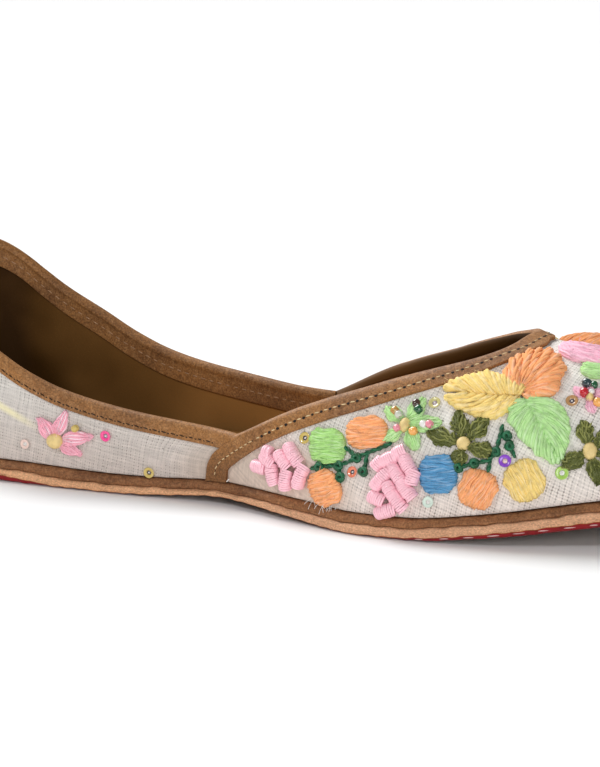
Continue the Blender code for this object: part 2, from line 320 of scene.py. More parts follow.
# Finishes
class Finish:
    """A material of one Principled shader, built up node by node."""

    def __init__(self, name, colour, roughness, **values):
        self.material = bpy.data.materials.new(name)
        self.material.use_nodes = True
        self.tree = self.material.node_tree
        self.shader = self.tree.nodes["Principled BSDF"]
        self.shader.inputs["Base Color"].default_value = (*colour, 1)
        self.shader.inputs["Roughness"].default_value = roughness
        for name, value in values.items():
            self.shader.inputs[name.replace("_", " ").title().replace("Ior", "IOR")].default_value = value

    def node(self, kind, inputs=(), **settings):
        made = self.tree.nodes.new("ShaderNode" + kind)
        for name, value in settings.items():
            setattr(made, name, value)
        for name, value in dict(inputs).items():
            if isinstance(value, bpy.types.NodeSocket):
                self.tree.links.new(value, made.inputs[name])
            else:
                made.inputs[name].default_value = value
        return made

    def place(self, stretch=(1, 1, 1)):
        """Coordinates in millimetres, divided by the stretch along each axis."""
        whole = self.node("TexCoord").outputs["Object"]
        scale = tuple(1 / MM / s for s in stretch)
        return self.node("Mapping", {"Vector": whole, "Scale": scale}).outputs[0]

    def axes(self):
        """The three coordinates in millimetres."""
        return self.node("SeparateXYZ", {0: self.place()}).outputs

    def noise(self, scale, place, detail=2.0, rough=0.5):
        inputs = {"Vector": place, "Scale": scale, "Detail": detail, "Roughness": rough}
        return self.node("TexNoise", inputs).outputs["Fac"]

    def grain(self, size, detail=2.0, rough=0.5):
        """Noise with spots of a size in millimetres, one for all axes or one for each."""
        return self.noise(1.0, self.place(np.broadcast_to(size, 3)), detail, rough)

    def math(self, operation, a, b=0.0, c=0.0):
        return self.node("Math", {0: a, 1: b, 2: c}, operation=operation).outputs[0]

    def add(self, a, b):
        return self.math("ADD", a, b)

    def times(self, a, b):
        return self.math("MULTIPLY", a, b)

    def vector(self, operation, a, b):
        return self.node("VectorMath", {0: a, 1: b}, operation=operation).outputs[0]

    def spread(self, value, low, high, to_low=0.0, to_high=1.0):
        inputs = {"Value": value, "From Min": low, "From Max": high, "To Min": to_low, "To Max": to_high}
        return self.node("MapRange", inputs).outputs[0]

    def mix(self, factor, a, b, blend="MIX"):
        def paint(value):
            return value if isinstance(value, bpy.types.NodeSocket) else (*value, 1)

        inputs = {0: factor, 6: paint(a), 7: paint(b)}
        return self.node("Mix", inputs, data_type="RGBA", blend_type=blend).outputs[2]

    def tint(self, shade, by):
        """A shade times a colour, or times a tone."""
        if isinstance(by, bpy.types.NodeSocket):
            by = self.node("CombineColor", {0: by, 1: by, 2: by}).outputs[0]
        return self.mix(1.0, shade, by, "MULTIPLY")

    def colour(self, value):
        self.tree.links.new(value, self.shader.inputs["Base Color"])

    def rough(self, value):
        self.tree.links.new(value, self.shader.inputs["Roughness"])

    def bump(self, height, distance, strength):
        """Relief of the given height in millimetres where the value is 1."""
        inputs = {"Height": height, "Distance": distance * MM, "Strength": strength}
        made = self.node("Bump", inputs).outputs[0]
        self.tree.links.new(made, self.shader.inputs["Normal"])


CLOTH_CREAM = (0.86, 0.82, 0.765)
CLOTH_SHADE = (0.22, 0.19, 0.155)
# Tint of painted warm bounce light from the sole, on the cloth near the ground.
CLOTH_BOUNCE_TINT = (0.95, 0.87, 0.85)
# Tint of painted shade in the patch by the side seam.
CLOTH_SEAM_SHADE = (0.86, 0.79, 0.72)
CLOTH_STREAK = (0.90, 0.82, 0.48)
# Tint of painted shade over the quarter, behind the side seam.
CLOTH_QUARTER_SHADE = (0.76, 0.755, 0.75)
CLOTH_SPECK = (0.09, 0.07, 0.06)
LEATHER_BROWN = (0.285, 0.126, 0.039)
LEATHER_WORN = (0.43, 0.225, 0.095)
LEATHER_DARK = (0.18, 0.078, 0.028)
BAND_BROWN = (0.25, 0.105, 0.042)
BAND_WORN = (0.38, 0.185, 0.08)
BAND_DARK = (0.14, 0.055, 0.022)
LINING_BROWN = (0.38, 0.18, 0.05)
# Colour of the lining's painted shade towards the heel and under the throat.
LINING_SHADE_DARK = (0.04, 0.015, 0.001)
# Dark brown of the vamp binding's inner facing: painted shade, as it lies in shadow inside the throat.
FACING_SHADE_BROWN = (0.14, 0.063, 0.018)
RAW_TAN = (0.68, 0.38, 0.22)
RAW_DARK = (0.56, 0.30, 0.17)
RAW_HEEL = (0.71, 0.38, 0.20)
UNDERSIDE_BROWN = (0.20, 0.125, 0.08)
LIP_ORANGE = (0.42, 0.12, 0.03)
PAINT_RED = (0.28, 0.006, 0.010)
THREADS = {
    "dark": (0.035, 0.018, 0.009), "tan": (0.42, 0.24, 0.13),
    "cream": (0.66, 0.50, 0.28), "pale": (0.66, 0.44, 0.42),
}
THREAD_WHITE = (0.90, 0.87, 0.83)
HOLE_BLACK = (0.012, 0.007, 0.004)
FLOOR_WHITE = (0.92, 0.92, 0.92)
WEAVE_PITCHES, WEAVE_DRIFT = (0.6, 0.82), 0.9
# Middle and half size, along and up, of a patch of cloth by the side seam that is stiffened, with a smoother
# weave, and darkened by painted shade.
SEAM_PATCH_ALONG, SEAM_PATCH_UP = (-4, 26), (8, 11)
YARNS = {
    "lime": (0.44, 0.73, 0.25), "spring": (0.52, 0.80, 0.35), "peach": (0.96, 0.44, 0.19),
    "yellow": (0.93, 0.70, 0.25), "straw": (0.80, 0.60, 0.25), "blue": (0.12, 0.34, 0.58),
    "rose": (0.95, 0.53, 0.65), "salmon": (0.97, 0.46, 0.56), "olive": (0.10, 0.115, 0.018),
    "bottle": (0.003, 0.085, 0.028),
}
YARN_STYLES = {
    "olive": dict(roughness=0.5, gloss=0.3), "bottle": dict(roughness=0.4, gloss=0.4),
    "salmon": dict(roughness=0.45, gloss=0.4), "straw": dict(roughness=0.5, gloss=0.35),
}
# Paler yarns, for one ply in three and for loose fibres; the pale olive is partly a second tone of thread and
# partly painted highlight on the glossy olive thread.
PALE_YARNS = {"olive": (0.26, 0.27, 0.07), "bottle": (0.006, 0.14, 0.055), "salmon": (1.0, 0.72, 0.79)}
DISC_PINK = (0.96, 0.55, 0.63)
GLOSSES = {
    "gold": (0.62, 0.46, 0.12), "coral": (0.80, 0.22, 0.12), "mint": (0.62, 0.74, 0.64),
    "purple": (0.25, 0.06, 0.55), "leaf": (0.36, 0.58, 0.10), "hot_pink": (0.90, 0.06, 0.28),
    "blush": (0.80, 0.58, 0.50), "clear": (0.62, 0.62, 0.54), "honey": (0.56, 0.50, 0.20),
    "bronze": (0.46, 0.25, 0.10), "shade": (0.10, 0.08, 0.10), "mauve": (0.40, 0.30, 0.38),
    "amber": (0.50, 0.26, 0.06), "brown": (0.06, 0.03, 0.02), "green": (0.008, 0.09, 0.03),
    "teal": (0.02, 0.045, 0.05), "red": (0.50, 0.01, 0.02), "pearl": (0.80, 0.78, 0.74),
    "pink": (0.80, 0.28, 0.34), "orange": (0.86, 0.40, 0.10),
}


def cloth_finish(name):
    """Plain weave, from the piece's own map in millimetres, with slubs, pinholes, dark specks and a pale
    yellow streak; painted shade darkens the quarter and a patch by the side seam, and a painted warm bounce
    tints the cloth near the sole.
    """
    made = Finish(name, CLOTH_CREAM, 0.92)
    flat = made.node("UVMap", uv_map="weave").outputs[0]
    drift = made.node("TexNoise", {"Vector": flat, "Scale": 0.25, "Detail": 3.0}).outputs["Color"]
    shift = made.vector("MULTIPLY", made.vector("ADD", drift, (-0.5,) * 3), (WEAVE_DRIFT,) * 3)
    moved = made.vector("ADD", flat, shift)
    grid = made.vector("MULTIPLY", moved, (1 / WEAVE_PITCHES[0], 1 / WEAVE_PITCHES[1], 1))
    u, v, _ = made.node("SeparateXYZ", {0: grid}).outputs

    def thread(across, along, sign):
        """Height of one set of threads, passing over and under the other."""
        round_top = made.math("ABSOLUTE", made.math("SINE", made.times(across, np.pi)))
        parity = made.add(along, made.math("FLOOR", across))
        wave = made.math("SINE", made.times(parity, np.pi))
        return made.times(round_top, made.math("MULTIPLY_ADD", wave, 0.5 * sign, 0.5))

    def apart(value, middle, reach):
        return made.math("POWER", made.math("DIVIDE", made.add(value, -middle), reach), 2)

    height = made.math("MAXIMUM", thread(u, v, 1), thread(v, u, -1))
    slub_u = made.noise(1.0, made.vector("MULTIPLY", moved, (0.12, 1.4, 1)))
    slub_v = made.noise(1.0, made.vector("MULTIPLY", moved, (1.4, 0.12, 1)))
    slub = made.add(slub_u, slub_v)
    open_weave = made.spread(made.noise(0.22, flat, 3.0), 0.35, 0.65, 0.2, 1.0)
    x, y, z = made.axes()
    patch_distance = made.add(apart(x, *SEAM_PATCH_ALONG), apart(z, *SEAM_PATCH_UP))
    off_patch = made.spread(patch_distance, 0.4, 1.3, 0.15, 1.0)
    pair = made.math("MULTIPLY_ADD", made.math("COSINE", made.times(u, np.pi)), 0.32, 0.68)
    front = made.spread(x, -25, -5)
    narrow, wide = made.spread(height, 0.46, 0.1), made.spread(height, 0.64, 0.15)
    gaps = made.math("MULTIPLY_ADD", made.math("SUBTRACT", wide, narrow), front, narrow)
    holes = made.times(made.times(gaps, made.times(open_weave, off_patch)), pair)
    shade = made.mix(holes, CLOTH_CREAM, CLOTH_SHADE)
    shade = made.tint(shade, made.spread(slub, 0.7, 1.3, 0.8, 1.08))
    # Painted warm bounce: the cloth grows warmer from 26 mm height down to 7 mm.
    shade = made.mix(made.spread(z, 26, 7), shade, made.tint(shade, CLOTH_BOUNCE_TINT))
    # Painted shade in the patch by the side seam, low at the waist.
    shade = made.mix(made.spread(off_patch, 1.0, 0.2), shade, made.tint(shade, CLOTH_SEAM_SHADE))
    # Painted shade: the quarter behind the side seam is tinted darker.
    shade = made.mix(front, made.tint(shade, CLOTH_QUARTER_SHADE), shade)
    line = made.math("MULTIPLY_ADD", x, 0.43, made.add(z, 15.6))
    streak = made.spread(made.math("ABSOLUTE", line), 1.4, 0.3, 0.0, 0.7)
    streak = made.times(streak, made.times(made.spread(x, -69, -77), made.spread(y, -5, -10)))
    shade = made.mix(streak, shade, CLOTH_STREAK)
    speck = made.noise(0.9, made.vector("MULTIPLY", flat, (0.8, 1.3, 1)), 0.0)
    made.colour(made.mix(made.spread(speck, 0.80, 0.86, 0.0, 0.7), shade, CLOTH_SPECK))
    relief = made.add(height, made.times(slub, 0.5))
    made.bump(made.times(relief, off_patch), 0.14, 0.7)
    return made.material


def leather_finish(name, colour, worn, dark, roughness=0.55, low_shade=0.0):
    """Grained leather with soft stains and paler wear, and painted shade near the ground if asked."""
    made = Finish(name, colour, roughness, specular_ior_level=0.22)
    stain, rub, pores = made.grain(17, 3.0), made.grain(1.3, 5.0, 0.7), made.grain(0.42, 3.0, 0.6)
    shade = made.mix(made.spread(stain, 0.3, 0.58), dark, colour)
    shade = made.mix(made.spread(rub, 0.44, 0.74, 0, 0.6), shade, worn)
    # Painted shade: darker below 17 mm height, by a share of low_shade.
    shade = made.mix(made.spread(made.axes()[2], 17, 9, 0, low_shade), shade, dark)
    made.colour(made.tint(shade, made.spread(pores, 0.32, 0.68, 0.58, 1.46)))
    made.bump(made.add(pores, made.times(rub, 0.8)), 0.12, 0.7)
    made.rough(made.spread(rub, 0.3, 0.7, roughness + 0.1, roughness - 0.08))
    return made.material


def lining_finish(name, brown):
    """Smooth skin, with painted shade towards the heel and under the throat, and blotches of random tone."""
    made = Finish(name, brown, 0.6, specular_ior_level=0.1)
    along = made.axes()[0]
    # Painted shade, growing towards the heel and under the throat, with blotches of random tone added.
    shade_and_blotch = made.add(made.spread(along, -20, -108), made.spread(along, 5, 45))
    shade_and_blotch = made.add(shade_and_blotch, made.spread(made.grain(22), 0.3, 0.7, -0.12, 0.12))
    made.colour(made.mix(shade_and_blotch, brown, LINING_SHADE_DARK))
    made.bump(made.grain(0.4, 3.0, 0.6), 0.06, 0.6)
    return made.material


def raw_finish(name, colour, dark, heel=None):
    """Cut edge of leather: fibres run along the sole, and its tone may change towards the heel."""
    made = Finish(name, colour, 0.75, specular_ior_level=0.25)
    layers, blotch = made.grain((9, 9, 0.45), 4.0, 0.65), made.grain((7, 7, 3), 3.0)
    nap = made.grain((0.5, 0.5, 0.3))
    shade = made.mix(made.spread(layers, 0.4, 0.68), colour, dark)
    shade = made.mix(made.spread(blotch, 0.45, 0.75, 0, 0.6), shade, dark)
    if heel:
        shade = made.mix(made.spread(made.axes()[0], 5, -24, 0, 0.9), shade, heel)
    made.colour(made.tint(shade, made.spread(nap, 0.3, 0.7, 0.72, 1.28)))
    made.bump(made.add(layers, made.times(nap, 0.6)), 0.18, 0.8)
    return made.material


def paint_finish(name, colour):
    """Dye along the sole's lower edge, worn in places."""
    made = Finish(name, colour, 0.5, specular_ior_level=0.4)
    worn = made.grain((2.2, 2.2, 1.2), 4.0, 0.65)
    made.colour(made.mix(made.spread(worn, 0.5, 0.75), colour, darker(colour, 0.35)))
    made.bump(worn, 0.1, 0.6)
    return made.material


def yarn_finish(name, colour, roughness=0.75, gloss=0.0):
    """Woolly thread: fibres, and a little change of tone."""
    made = Finish(name, colour, roughness, specular_ior_level=gloss)
    tone, fibre = made.grain(1.6, 3.0), made.grain(0.22, 3.0, 0.7)
    shade = made.mix(made.spread(tone, 0.3, 0.55), darker(colour, 0.8), colour)
    made.colour(made.mix(made.spread(fibre, 0.5, 0.75, 0, 0.6), shade, paler(colour, 0.16)))
    made.bump(fibre, 0.07, 0.7)
    return made.material


def gloss_finish(name, colour, roughness=0.25, coat=0.8):
    """Plastic sequins and glass beads."""
    return Finish(name, colour, roughness, coat_weight=coat, coat_roughness=0.06).material


# Making meshes
def alone(piece):
    bpy.ops.object.select_all(action="DESELECT")
    piece.select_set(True)
    bpy.context.view_layer.objects.active = piece


def points_of(mesh):
    flat = np.empty(len(mesh.vertices) * 3)
    mesh.vertices.foreach_get("co", flat)
    return flat.reshape(-1, 3)


def grid_sheet(name, points, weave=None):
    """A sheet through points, columns by rows, from a grid primitive.

    Points that are not numbers are left out.
    """
    columns, rows = points.shape[:2]
    bpy.ops.object.select_all(action="DESELECT")
    bpy.ops.mesh.primitive_grid_add(x_subdivisions=rows - 1, y_subdivisions=columns - 1, size=2)
    piece = bpy.context.object
    piece.name = piece.data.name = name
    mesh = piece.data
    flat = points_of(mesh)
    row = np.rint((flat[:, 0] + 1) / 2 * (rows - 1)).astype(int)
    column = np.rint((flat[:, 1] + 1) / 2 * (columns - 1)).astype(int)
    placed = points[column, row] * MM
    missing = np.isnan(placed).any(1)
    mesh.vertices.foreach_set("co", np.nan_to_num(placed).ravel())
    mesh.uv_layers.active.name = "weave"
    if weave is not None:
        corner = np.empty(len(mesh.loops), int)
        mesh.loops.foreach_get("vertex_index", corner)
        mesh.uv_layers.active.data.foreach_set("uv", weave[column, row][corner].ravel())
    kept_row = mesh.attributes.new("row", "INT", "FACE")
    kept_row.data.foreach_set("value", np.arange(len(mesh.polygons)) % (rows - 1))
    if missing.any():
        bpy.ops.object.mode_set(mode="EDIT")
        bpy.ops.mesh.select_mode(type="VERT")
        bpy.ops.mesh.select_all(action="DESELECT")
        bpy.ops.object.mode_set(mode="OBJECT")
        mesh.vertices.foreach_set("select", missing)
        bpy.ops.object.mode_set(mode="EDIT")
        bpy.ops.mesh.delete(type="VERT")
        bpy.ops.object.mode_set(mode="OBJECT")
    bpy.ops.object.shade_smooth()
    return piece


def weld(piece):
    """Merges points that meet."""
    alone(piece)
    bpy.ops.object.mode_set(mode="EDIT")
    bpy.ops.mesh.select_all(action="SELECT")
    bpy.ops.mesh.remove_doubles(threshold=WELD_DISTANCE * MM)
    bpy.ops.object.mode_set(mode="OBJECT")


def modify(piece, kind, **settings):
    """Adds a modifier and applies it."""
    alone(piece)
    modifier = piece.modifiers.new(kind.lower(), kind)
    for name, value in settings.items():
        setattr(modifier, name, value)
    bpy.ops.object.modifier_apply(modifier=modifier.name)


def both_sides(piece, merge=True):
    """Adds the piece's mirror image across the shoe's middle plane."""
    sides = dict(use_axis=(False, True, False), use_mirror_merge=merge, merge_threshold=MIRROR_MERGE * MM)
    modify(piece, "MIRROR", **sides)


def thicken(piece, thickness, side):
    modify(piece, "SOLIDIFY", thickness=thickness * MM, offset=side, use_even_offset=True)


def round_edges(piece, width, segments, angle):
    """Bevels edges sharper than an angle in degrees."""
    limit = dict(limit_method="ANGLE", angle_limit=np.radians(angle))
    modify(piece, "BEVEL", width=width, segments=segments, **limit)


def wear(piece, *materials):
    piece.data.materials.clear()
    for material in materials:
        piece.data.materials.append(material)


def lift_far_side(piece):
    points = points_of(piece.data)
    x, y, z = points.T / MM
    lift = curve(FAR_LIFT, "lift", x + LENGTH / 2) * grown(y, *LIFT_ACROSS) * grown(z, *LIFT_UP)
    points[:, 2] += MM * lift
    piece.data.vertices.foreach_set("co", points.ravel())
    piece.data.update()


def settle(piece, node=None):
    """The piece's far side is lifted beside the throat, it rides on the part, and it stands for one of its
    nodes.
    """
    lift_far_side(piece)
    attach(piece, "root")
    if node:
        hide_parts(node)


def joined_mesh(name, lumps, finishes, side="both"):
    """One object of many lumps, each with points in millimetres, faces and a finish's name.

    Lumps are made on the far side. They stay there, or move to the near side, or stand on both.
    """
    points, faces, slots, count = [], [], [], 0
    names = list(dict.fromkeys(lump[2] for lump in lumps))
    for lump_points, lump_faces, finish in lumps:
        points.append(lump_points * OTHER_SIDE if side == "near" else lump_points)
        for group in lump_faces:
            group = group[:, ::-1] if side == "near" else group
            faces += (group + count).tolist()
            slots += [names.index(finish)] * len(group)
        count += len(lump_points)
    mesh = bpy.data.meshes.new(name)
    mesh.from_pydata((np.concatenate(points) * MM).tolist(), [], faces)
    mesh.polygons.foreach_set("material_index", slots)
    piece = bpy.data.objects.new(name, mesh)
    bpy.context.scene.collection.objects.link(piece)
    for finish in names:
        mesh.materials.append(finishes[finish])
    alone(piece)
    bpy.ops.object.shade_smooth()
    if side == "both":
        both_sides(piece, merge=False)
    settle(piece)


def pattern(stretch=(1, 1, 1), cup=0.0):
    """Points and faces of the active object, which is removed."""
    piece = bpy.context.object
    mesh = piece.data
    points = points_of(mesh) * stretch
    points[:, 2] += cup * (points[:, 0]**2 + points[:, 1]**2)
    groups = {}
    for face in mesh.polygons:
        groups.setdefault(len(face.vertices), []).append(list(face.vertices))
    bpy.data.objects.remove(piece)
    return points, [np.array(group) for group in groups.values()]


def copies(shape, origin, x_axis, y_axis, z_axis, finish, size=1.0):
    """Copies of a pattern at places with their own axes, as one lump."""
    points, groups = shape
    size = np.broadcast_to(size, (len(origin),))
    local = points[None] * size[:, None, None]
    placed = origin[:, None] + local[..., :1] * x_axis[:, None]
    placed = placed + local[..., 1:2] * y_axis[:, None] + local[..., 2:] * z_axis[:, None]
    start = (np.arange(len(origin)) * len(points))[:, None, None]
    faces = [(group[None] + start).reshape(-1, group.shape[1]) for group in groups]
    return placed.reshape(-1, 3), faces, finish


# Lines and grids of points
def run_lengths(points, axis):
    """Distance along a grid of points, from its first row or column."""
    step = np.linalg.norm(np.diff(points, axis=axis), axis=-1)
    start = np.zeros_like(np.take(step, [0], axis=axis))
    return np.concatenate([start, np.cumsum(step, axis=axis)], axis=axis)


def read_off(at, run, values):
    """Rows of values at places along their run."""
    return np.stack([np.interp(at, run, column) for column in values.T], -1)


def quads(corner):
    """Faces between the numbered corners of a grid."""
    around = corner[:-1, :-1], corner[1:, :-1], corner[1:, 1:], corner[:-1, 1:]
    return np.stack(around, -1).reshape(-1, 4)


# Sole
def waver(angle, size, lengths, seed):
    """A hand-cut line's wander: sines of the given lengths in millimetres, with seeded phases."""
    chance = np.random.default_rng(seed)
    far = run_lengths(outline(angle), 0)
    total = sum(np.sin(2 * np.pi * far / n + chance.uniform(0, 6.28)) for n in lengths)
    return size * total / len(lengths)


SOLE_COLUMNS = 420


def over_sole(rim, share):
    """Points over places of the sole's plan, at a share of its height."""
    return np.column_stack([rim[:, 0] - LENGTH / 2, rim[:, 1], sole_height(rim[:, 0], share)])


def make_slab(name, profile):
    """A flat layer from rows of inset and share: centre of its underside, its edge, centre of its top."""
    angle = np.linspace(0, np.pi, SOLE_COLUMNS + 1)
    rows = []
    for inset, share in profile:
        rim = outline(angle, inset)
        rim[[0, -1], 1] = 0
        rows.append(over_sole(rim, share))
    to_axis = np.array([1, 0, 1])
    piece = grid_sheet(name, np.stack([rows[0] * to_axis, *rows, rows[-1] * to_axis], 1))
    weld(piece)
    both_sides(piece)
    return piece


def paint_rows(piece, slots):
    """Gives each row of a sheet's faces, from its first, a material slot."""
    slots = np.array(slots)
    row = np.empty(len(piece.data.polygons), int)
    piece.data.attributes["row"].data.foreach_get("value", row)
    piece.data.polygons.foreach_set("material_index", slots[row])


def make_soles():
    """The sole's three layers, cut by hand along their edges."""
    angle = np.linspace(0, np.pi, SOLE_COLUMNS + 1)
    station = station_at(angle)
    border = curve(SOLE_LINES, "border", station) + waver(angle, 0.06, (31, 17, 9, 5.5), 3)
    paint = curve(SOLE_LINES, "paint", station) + waver(angle, 0.012, (13, 7, 4), 4)
    edge = waver(angle, 0.4, (37, 16, 8, 4.5), 8)
    lip = waver(angle, 0.16, (11, 6, 3.2), 12)
    droop = 0.035 + waver(angle, 0.035, (23, 11, 6.5, 4), 15)
    painted = droop + paint
    outsole = make_slab("outsole", [
        (3.2, 0.0), (1.3, 0.3 * droop), (0.8, droop), (0.5 + lip, droop + 0.4 * paint),
        (0.3 + lip, painted), (0.16 + lip, painted + 0.03), (0.1 + 0.5 * edge, painted + 0.09),
        (edge, 0.33), (0.12 + edge, border - 0.09), (0.6 + edge, border - 0.03), (3.2, border),
    ])
    wear(
        outsole, raw_finish("tan_edge", RAW_TAN, RAW_DARK, RAW_HEEL), paint_finish("red_paint", PAINT_RED),
        raw_finish("burnt_lip", LIP_ORANGE, darker(LIP_ORANGE, 0.5)),
        leather_finish("underside", UNDERSIDE_BROWN, BAND_WORN, BAND_DARK, 0.8),
    )
    paint_rows(outsole, [3, 3, 1, 1, 1, 2, 0, 0, 0, 0, 0, 0])
    settle(outsole, "outsole")

    ragged = 0.92 + waver(angle, 0.05, (9, 5, 2.9, 1.7), 21)
    midsole = make_slab("midsole", [
        (3.2, border), (1.2 + edge, border), (0.7 + edge, border + 0.02),
        (0.55 + 0.8 * edge, border + 0.08), (0.85 + 0.5 * edge, 0.74),
        (1.35 + 0.3 * edge, ragged - 0.03), (1.75, ragged), (4.4, 0.94),
    ])
    wear(midsole, leather_finish("band_leather", BAND_BROWN, BAND_WORN, BAND_DARK, 0.6))
    settle(midsole, "midsole")

    insole = make_slab("insole", [
        (INSOLE_INSET, 0.96), (INSOLE_INSET - 0.2, 1.0), (INSOLE_INSET + 0.1, 1.16),
        (INSOLE_INSET + 0.8, 1.22),
    ])
    wear(insole, lining_finish("insole_leather", LINING_BROWN))
    settle(insole, "insole")


# Upper
SEAM_OVERLAP = 1.5
LEAN_START, LEAN_LENGTH = 70, 34
QUARTER_TURN, VAMP_TURN = np.radians(9), np.radians(-11)


def seam_lean(rise):
    """How far the side seam leans back below the junction."""
    low = np.minimum(rise, JUNCTION_RISE)
    return vamp_station(low) - JUNCTION_STATION + SEAM_OVERLAP * (1 - low / JUNCTION_RISE)


def turned(angle):
    return np.array([[np.cos(angle), np.sin(angle)], [-np.sin(angle), np.cos(angle)]])


def upper_sheets(name, quarter_columns, throat_columns, toe_columns, rows, offset):
    """Sheet of one side's quarter and vamp, at a distance off the wall, with its weave map."""
    share = np.linspace(0, 1, rows + 1)
    quarter = station_at(np.linspace(0, angle_at(JUNCTION_STATION), quarter_columns + 1))
    rise = collar_rise(quarter)[:, None] * share
    lean = grown(quarter, LEAN_START, JUNCTION_STATION - LEAN_START)[:, None] * seam_lean(rise)
    angle = angle_at(quarter[:, None] + lean)
    points = off_wall(angle, rise, offset)
    points[0, :, 1] = 0
    middle = run_lengths(points, 0)[:, rows // 3]
    weave = np.stack([np.broadcast_to(middle[:, None], rise.shape), run_lengths(points, 1)], -1)
    piece = grid_sheet(name, points, weave @ turned(QUARTER_TURN))

    throat_rise = np.linspace(JUNCTION_RISE, 1, throat_columns + 1)
    toe = station_at(np.linspace(angle_at(VAMP["station"][-1]), np.pi, toe_columns + 1)[1:])
    station = np.concatenate([vamp_station(throat_rise), toe])
    top = np.concatenate([throat_rise, np.ones_like(toe)])
    rise = top[:, None] * share
    lean = ease(1 - (station - JUNCTION_STATION) / LEAN_LENGTH)[:, None] * seam_lean(rise)
    angle = angle_at(station[:, None] + lean)
    points = off_wall(angle, rise, offset)
    points[throat_columns:, -1, 1] = 0
    points[-1, :, 1] = 0
    to_ridge = form(angle[..., None], rise[..., None] + (1 - rise[..., None]) * np.linspace(0, 1, 24))
    down = run_lengths(to_ridge, 2)[..., -1]
    vamp = grid_sheet(name + "_vamp", points, np.stack([points[..., 0], down], -1) @ turned(VAMP_TURN))
    alone(piece)
    vamp.select_set(True)
    bpy.ops.object.join()
    weld(piece)
    both_sides(piece)
    return piece


def make_upper():
    cloth = upper_sheets("upper_cloth", 96, 70, 56, 40, 0.0)
    thicken(cloth, CLOTH_THICKNESS, -1)
    wear(cloth, cloth_finish("cloth"))
    settle(cloth, "upper")
    lining = upper_sheets("lining", 60, 44, 30, 22, LINING_OFFSET)
    thicken(lining, LINING_THICKNESS, -1)
    wear(lining, lining_finish("lining_leather", LINING_BROWN))
    settle(lining)


# Bindings
OUTER_ROWS, FOLD_ROWS, INNER_ROWS = 10, 7, 6
FOLD_TOP = OUTER_ROWS + FOLD_ROWS
COLLAR_BEVEL, VAMP_BEVEL = 0.2, 0.25
# The binding's width beside the throat on the far side, and the rises over which it narrows and widens.
FAR_WIDTH, FAR_NARROWS, FAR_WIDENS = 2.4, (0.66, 0.12), (0.86, 0.14)


def fold_section(width, tall, curl=1.0):
    """A binding's cross-section, as distance in from the cut edge and distance off the wall."""
    outer = [(reach, BINDING_GAP) for reach in np.linspace(width, 0, OUTER_ROWS + 1)]
    radius = FOLD_RADIUS / curl
    angle = curl * np.linspace(0, np.pi / 2, FOLD_ROWS + 1)[1:]
    turn = list(zip(-tall * radius * np.sin(angle), BINDING_GAP - radius * (1 - np.cos(angle))))
    back = [(reach, -WALL - 2 * BINDING_GAP - off) for reach, off in turn[-2::-1]]
    inner = [(reach, -WALL - BINDING_GAP) for reach in np.linspace(0, FACING_WIDTH, INNER_ROWS + 1)]
    return np.array(outer + turn + back + inner)


def collar_line(share, reach, off, drop):
    """Points and normals along the quarter's edge, at a distance below it and off the wall."""
    junction_height = curve(COLLAR, "height", JUNCTION_STATION)
    end = vamp_station(rise_at(JUNCTION_STATION, junction_height - drop)) - COLLAR_END_CLEARANCE
    station = station_at(share * angle_at(end))
    angle, rise = angle_at(station), collar_rise(station)
    angle, rise = walk(angle, rise, -slopes(angle, rise)[1], reach)
    return off_wall(angle, rise, off), wall_normal(angle, rise)


def vamp_path(rise):
    """Angle, rise and heading away from the edge of the vamp's binding."""
    angle = angle_at(vamp_station(rise))
    along, up = slopes(angle, rise)
    edge = form(angle_at(vamp_station(rise + STEP)), rise + STEP)
    edge = edge - form(angle_at(vamp_station(rise - STEP)), rise - STEP)
    across = unit(np.cross(unit(np.cross(up, along)), edge))
    from_sole = np.clip(rise / JUNCTION_RISE, 0, 1)
    return angle, rise, unit(unit(along) * (1 - from_sole)[:, None] + across * from_sole[:, None])


def vamp_line(rise, reach, off):
    """Points and normals along the vamp's edge, at a distance in from it and off the wall."""
    angle, rise = walk(*vamp_path(rise), reach)
    return off_wall(angle, rise, off), wall_normal(angle, rise)


def far_edge(rise):
    """Where the binding's lower edge lies on the far side, narrower beside the throat."""
    edge = curve(BINDING, "edge", rise, by="rise")
    narrow = grown(rise, *FAR_NARROWS) * (1 - grown(rise, *FAR_WIDENS))
    return edge - (edge - FAR_WIDTH) * narrow


def vamp_half(rise, edge):
    """Points of the vamp's binding on the far side, columns by rows of its cross-section."""
    angle, rise, heading = vamp_path(rise)
    fold = curve(BINDING, "fold", rise, by="rise")
    curl = np.clip((rise - JUNCTION_RISE) / CURL_RISE, STEP, 1)
    facing_share = 0.1 + 0.9 * grown(rise, JUNCTION_RISE, FACING_RISE)
    columns = []
    for i in range(len(rise)):
        section, whole = fold_section(edge[i], fold[i], curl[i]), fold_section(edge[i], fold[i])
        inside = whole[FOLD_TOP + 1:] - whole[FOLD_TOP]
        section[FOLD_TOP + 1:] = section[FOLD_TOP] + facing_share[i] * inside
        reach, off = section.T
        place = np.full_like(reach, angle[i]), np.full_like(reach, rise[i])
        column = off_wall(*walk(*place, np.tile(heading[i], (len(reach), 1)), reach), off)
        if rise[i] < JUNCTION_RISE + 0.1 * CURL_RISE:
            column[FOLD_TOP + 1:] = np.nan
        columns.append(column)
    points = np.stack(columns)
    points[-1, :, 1] = 0
    return points


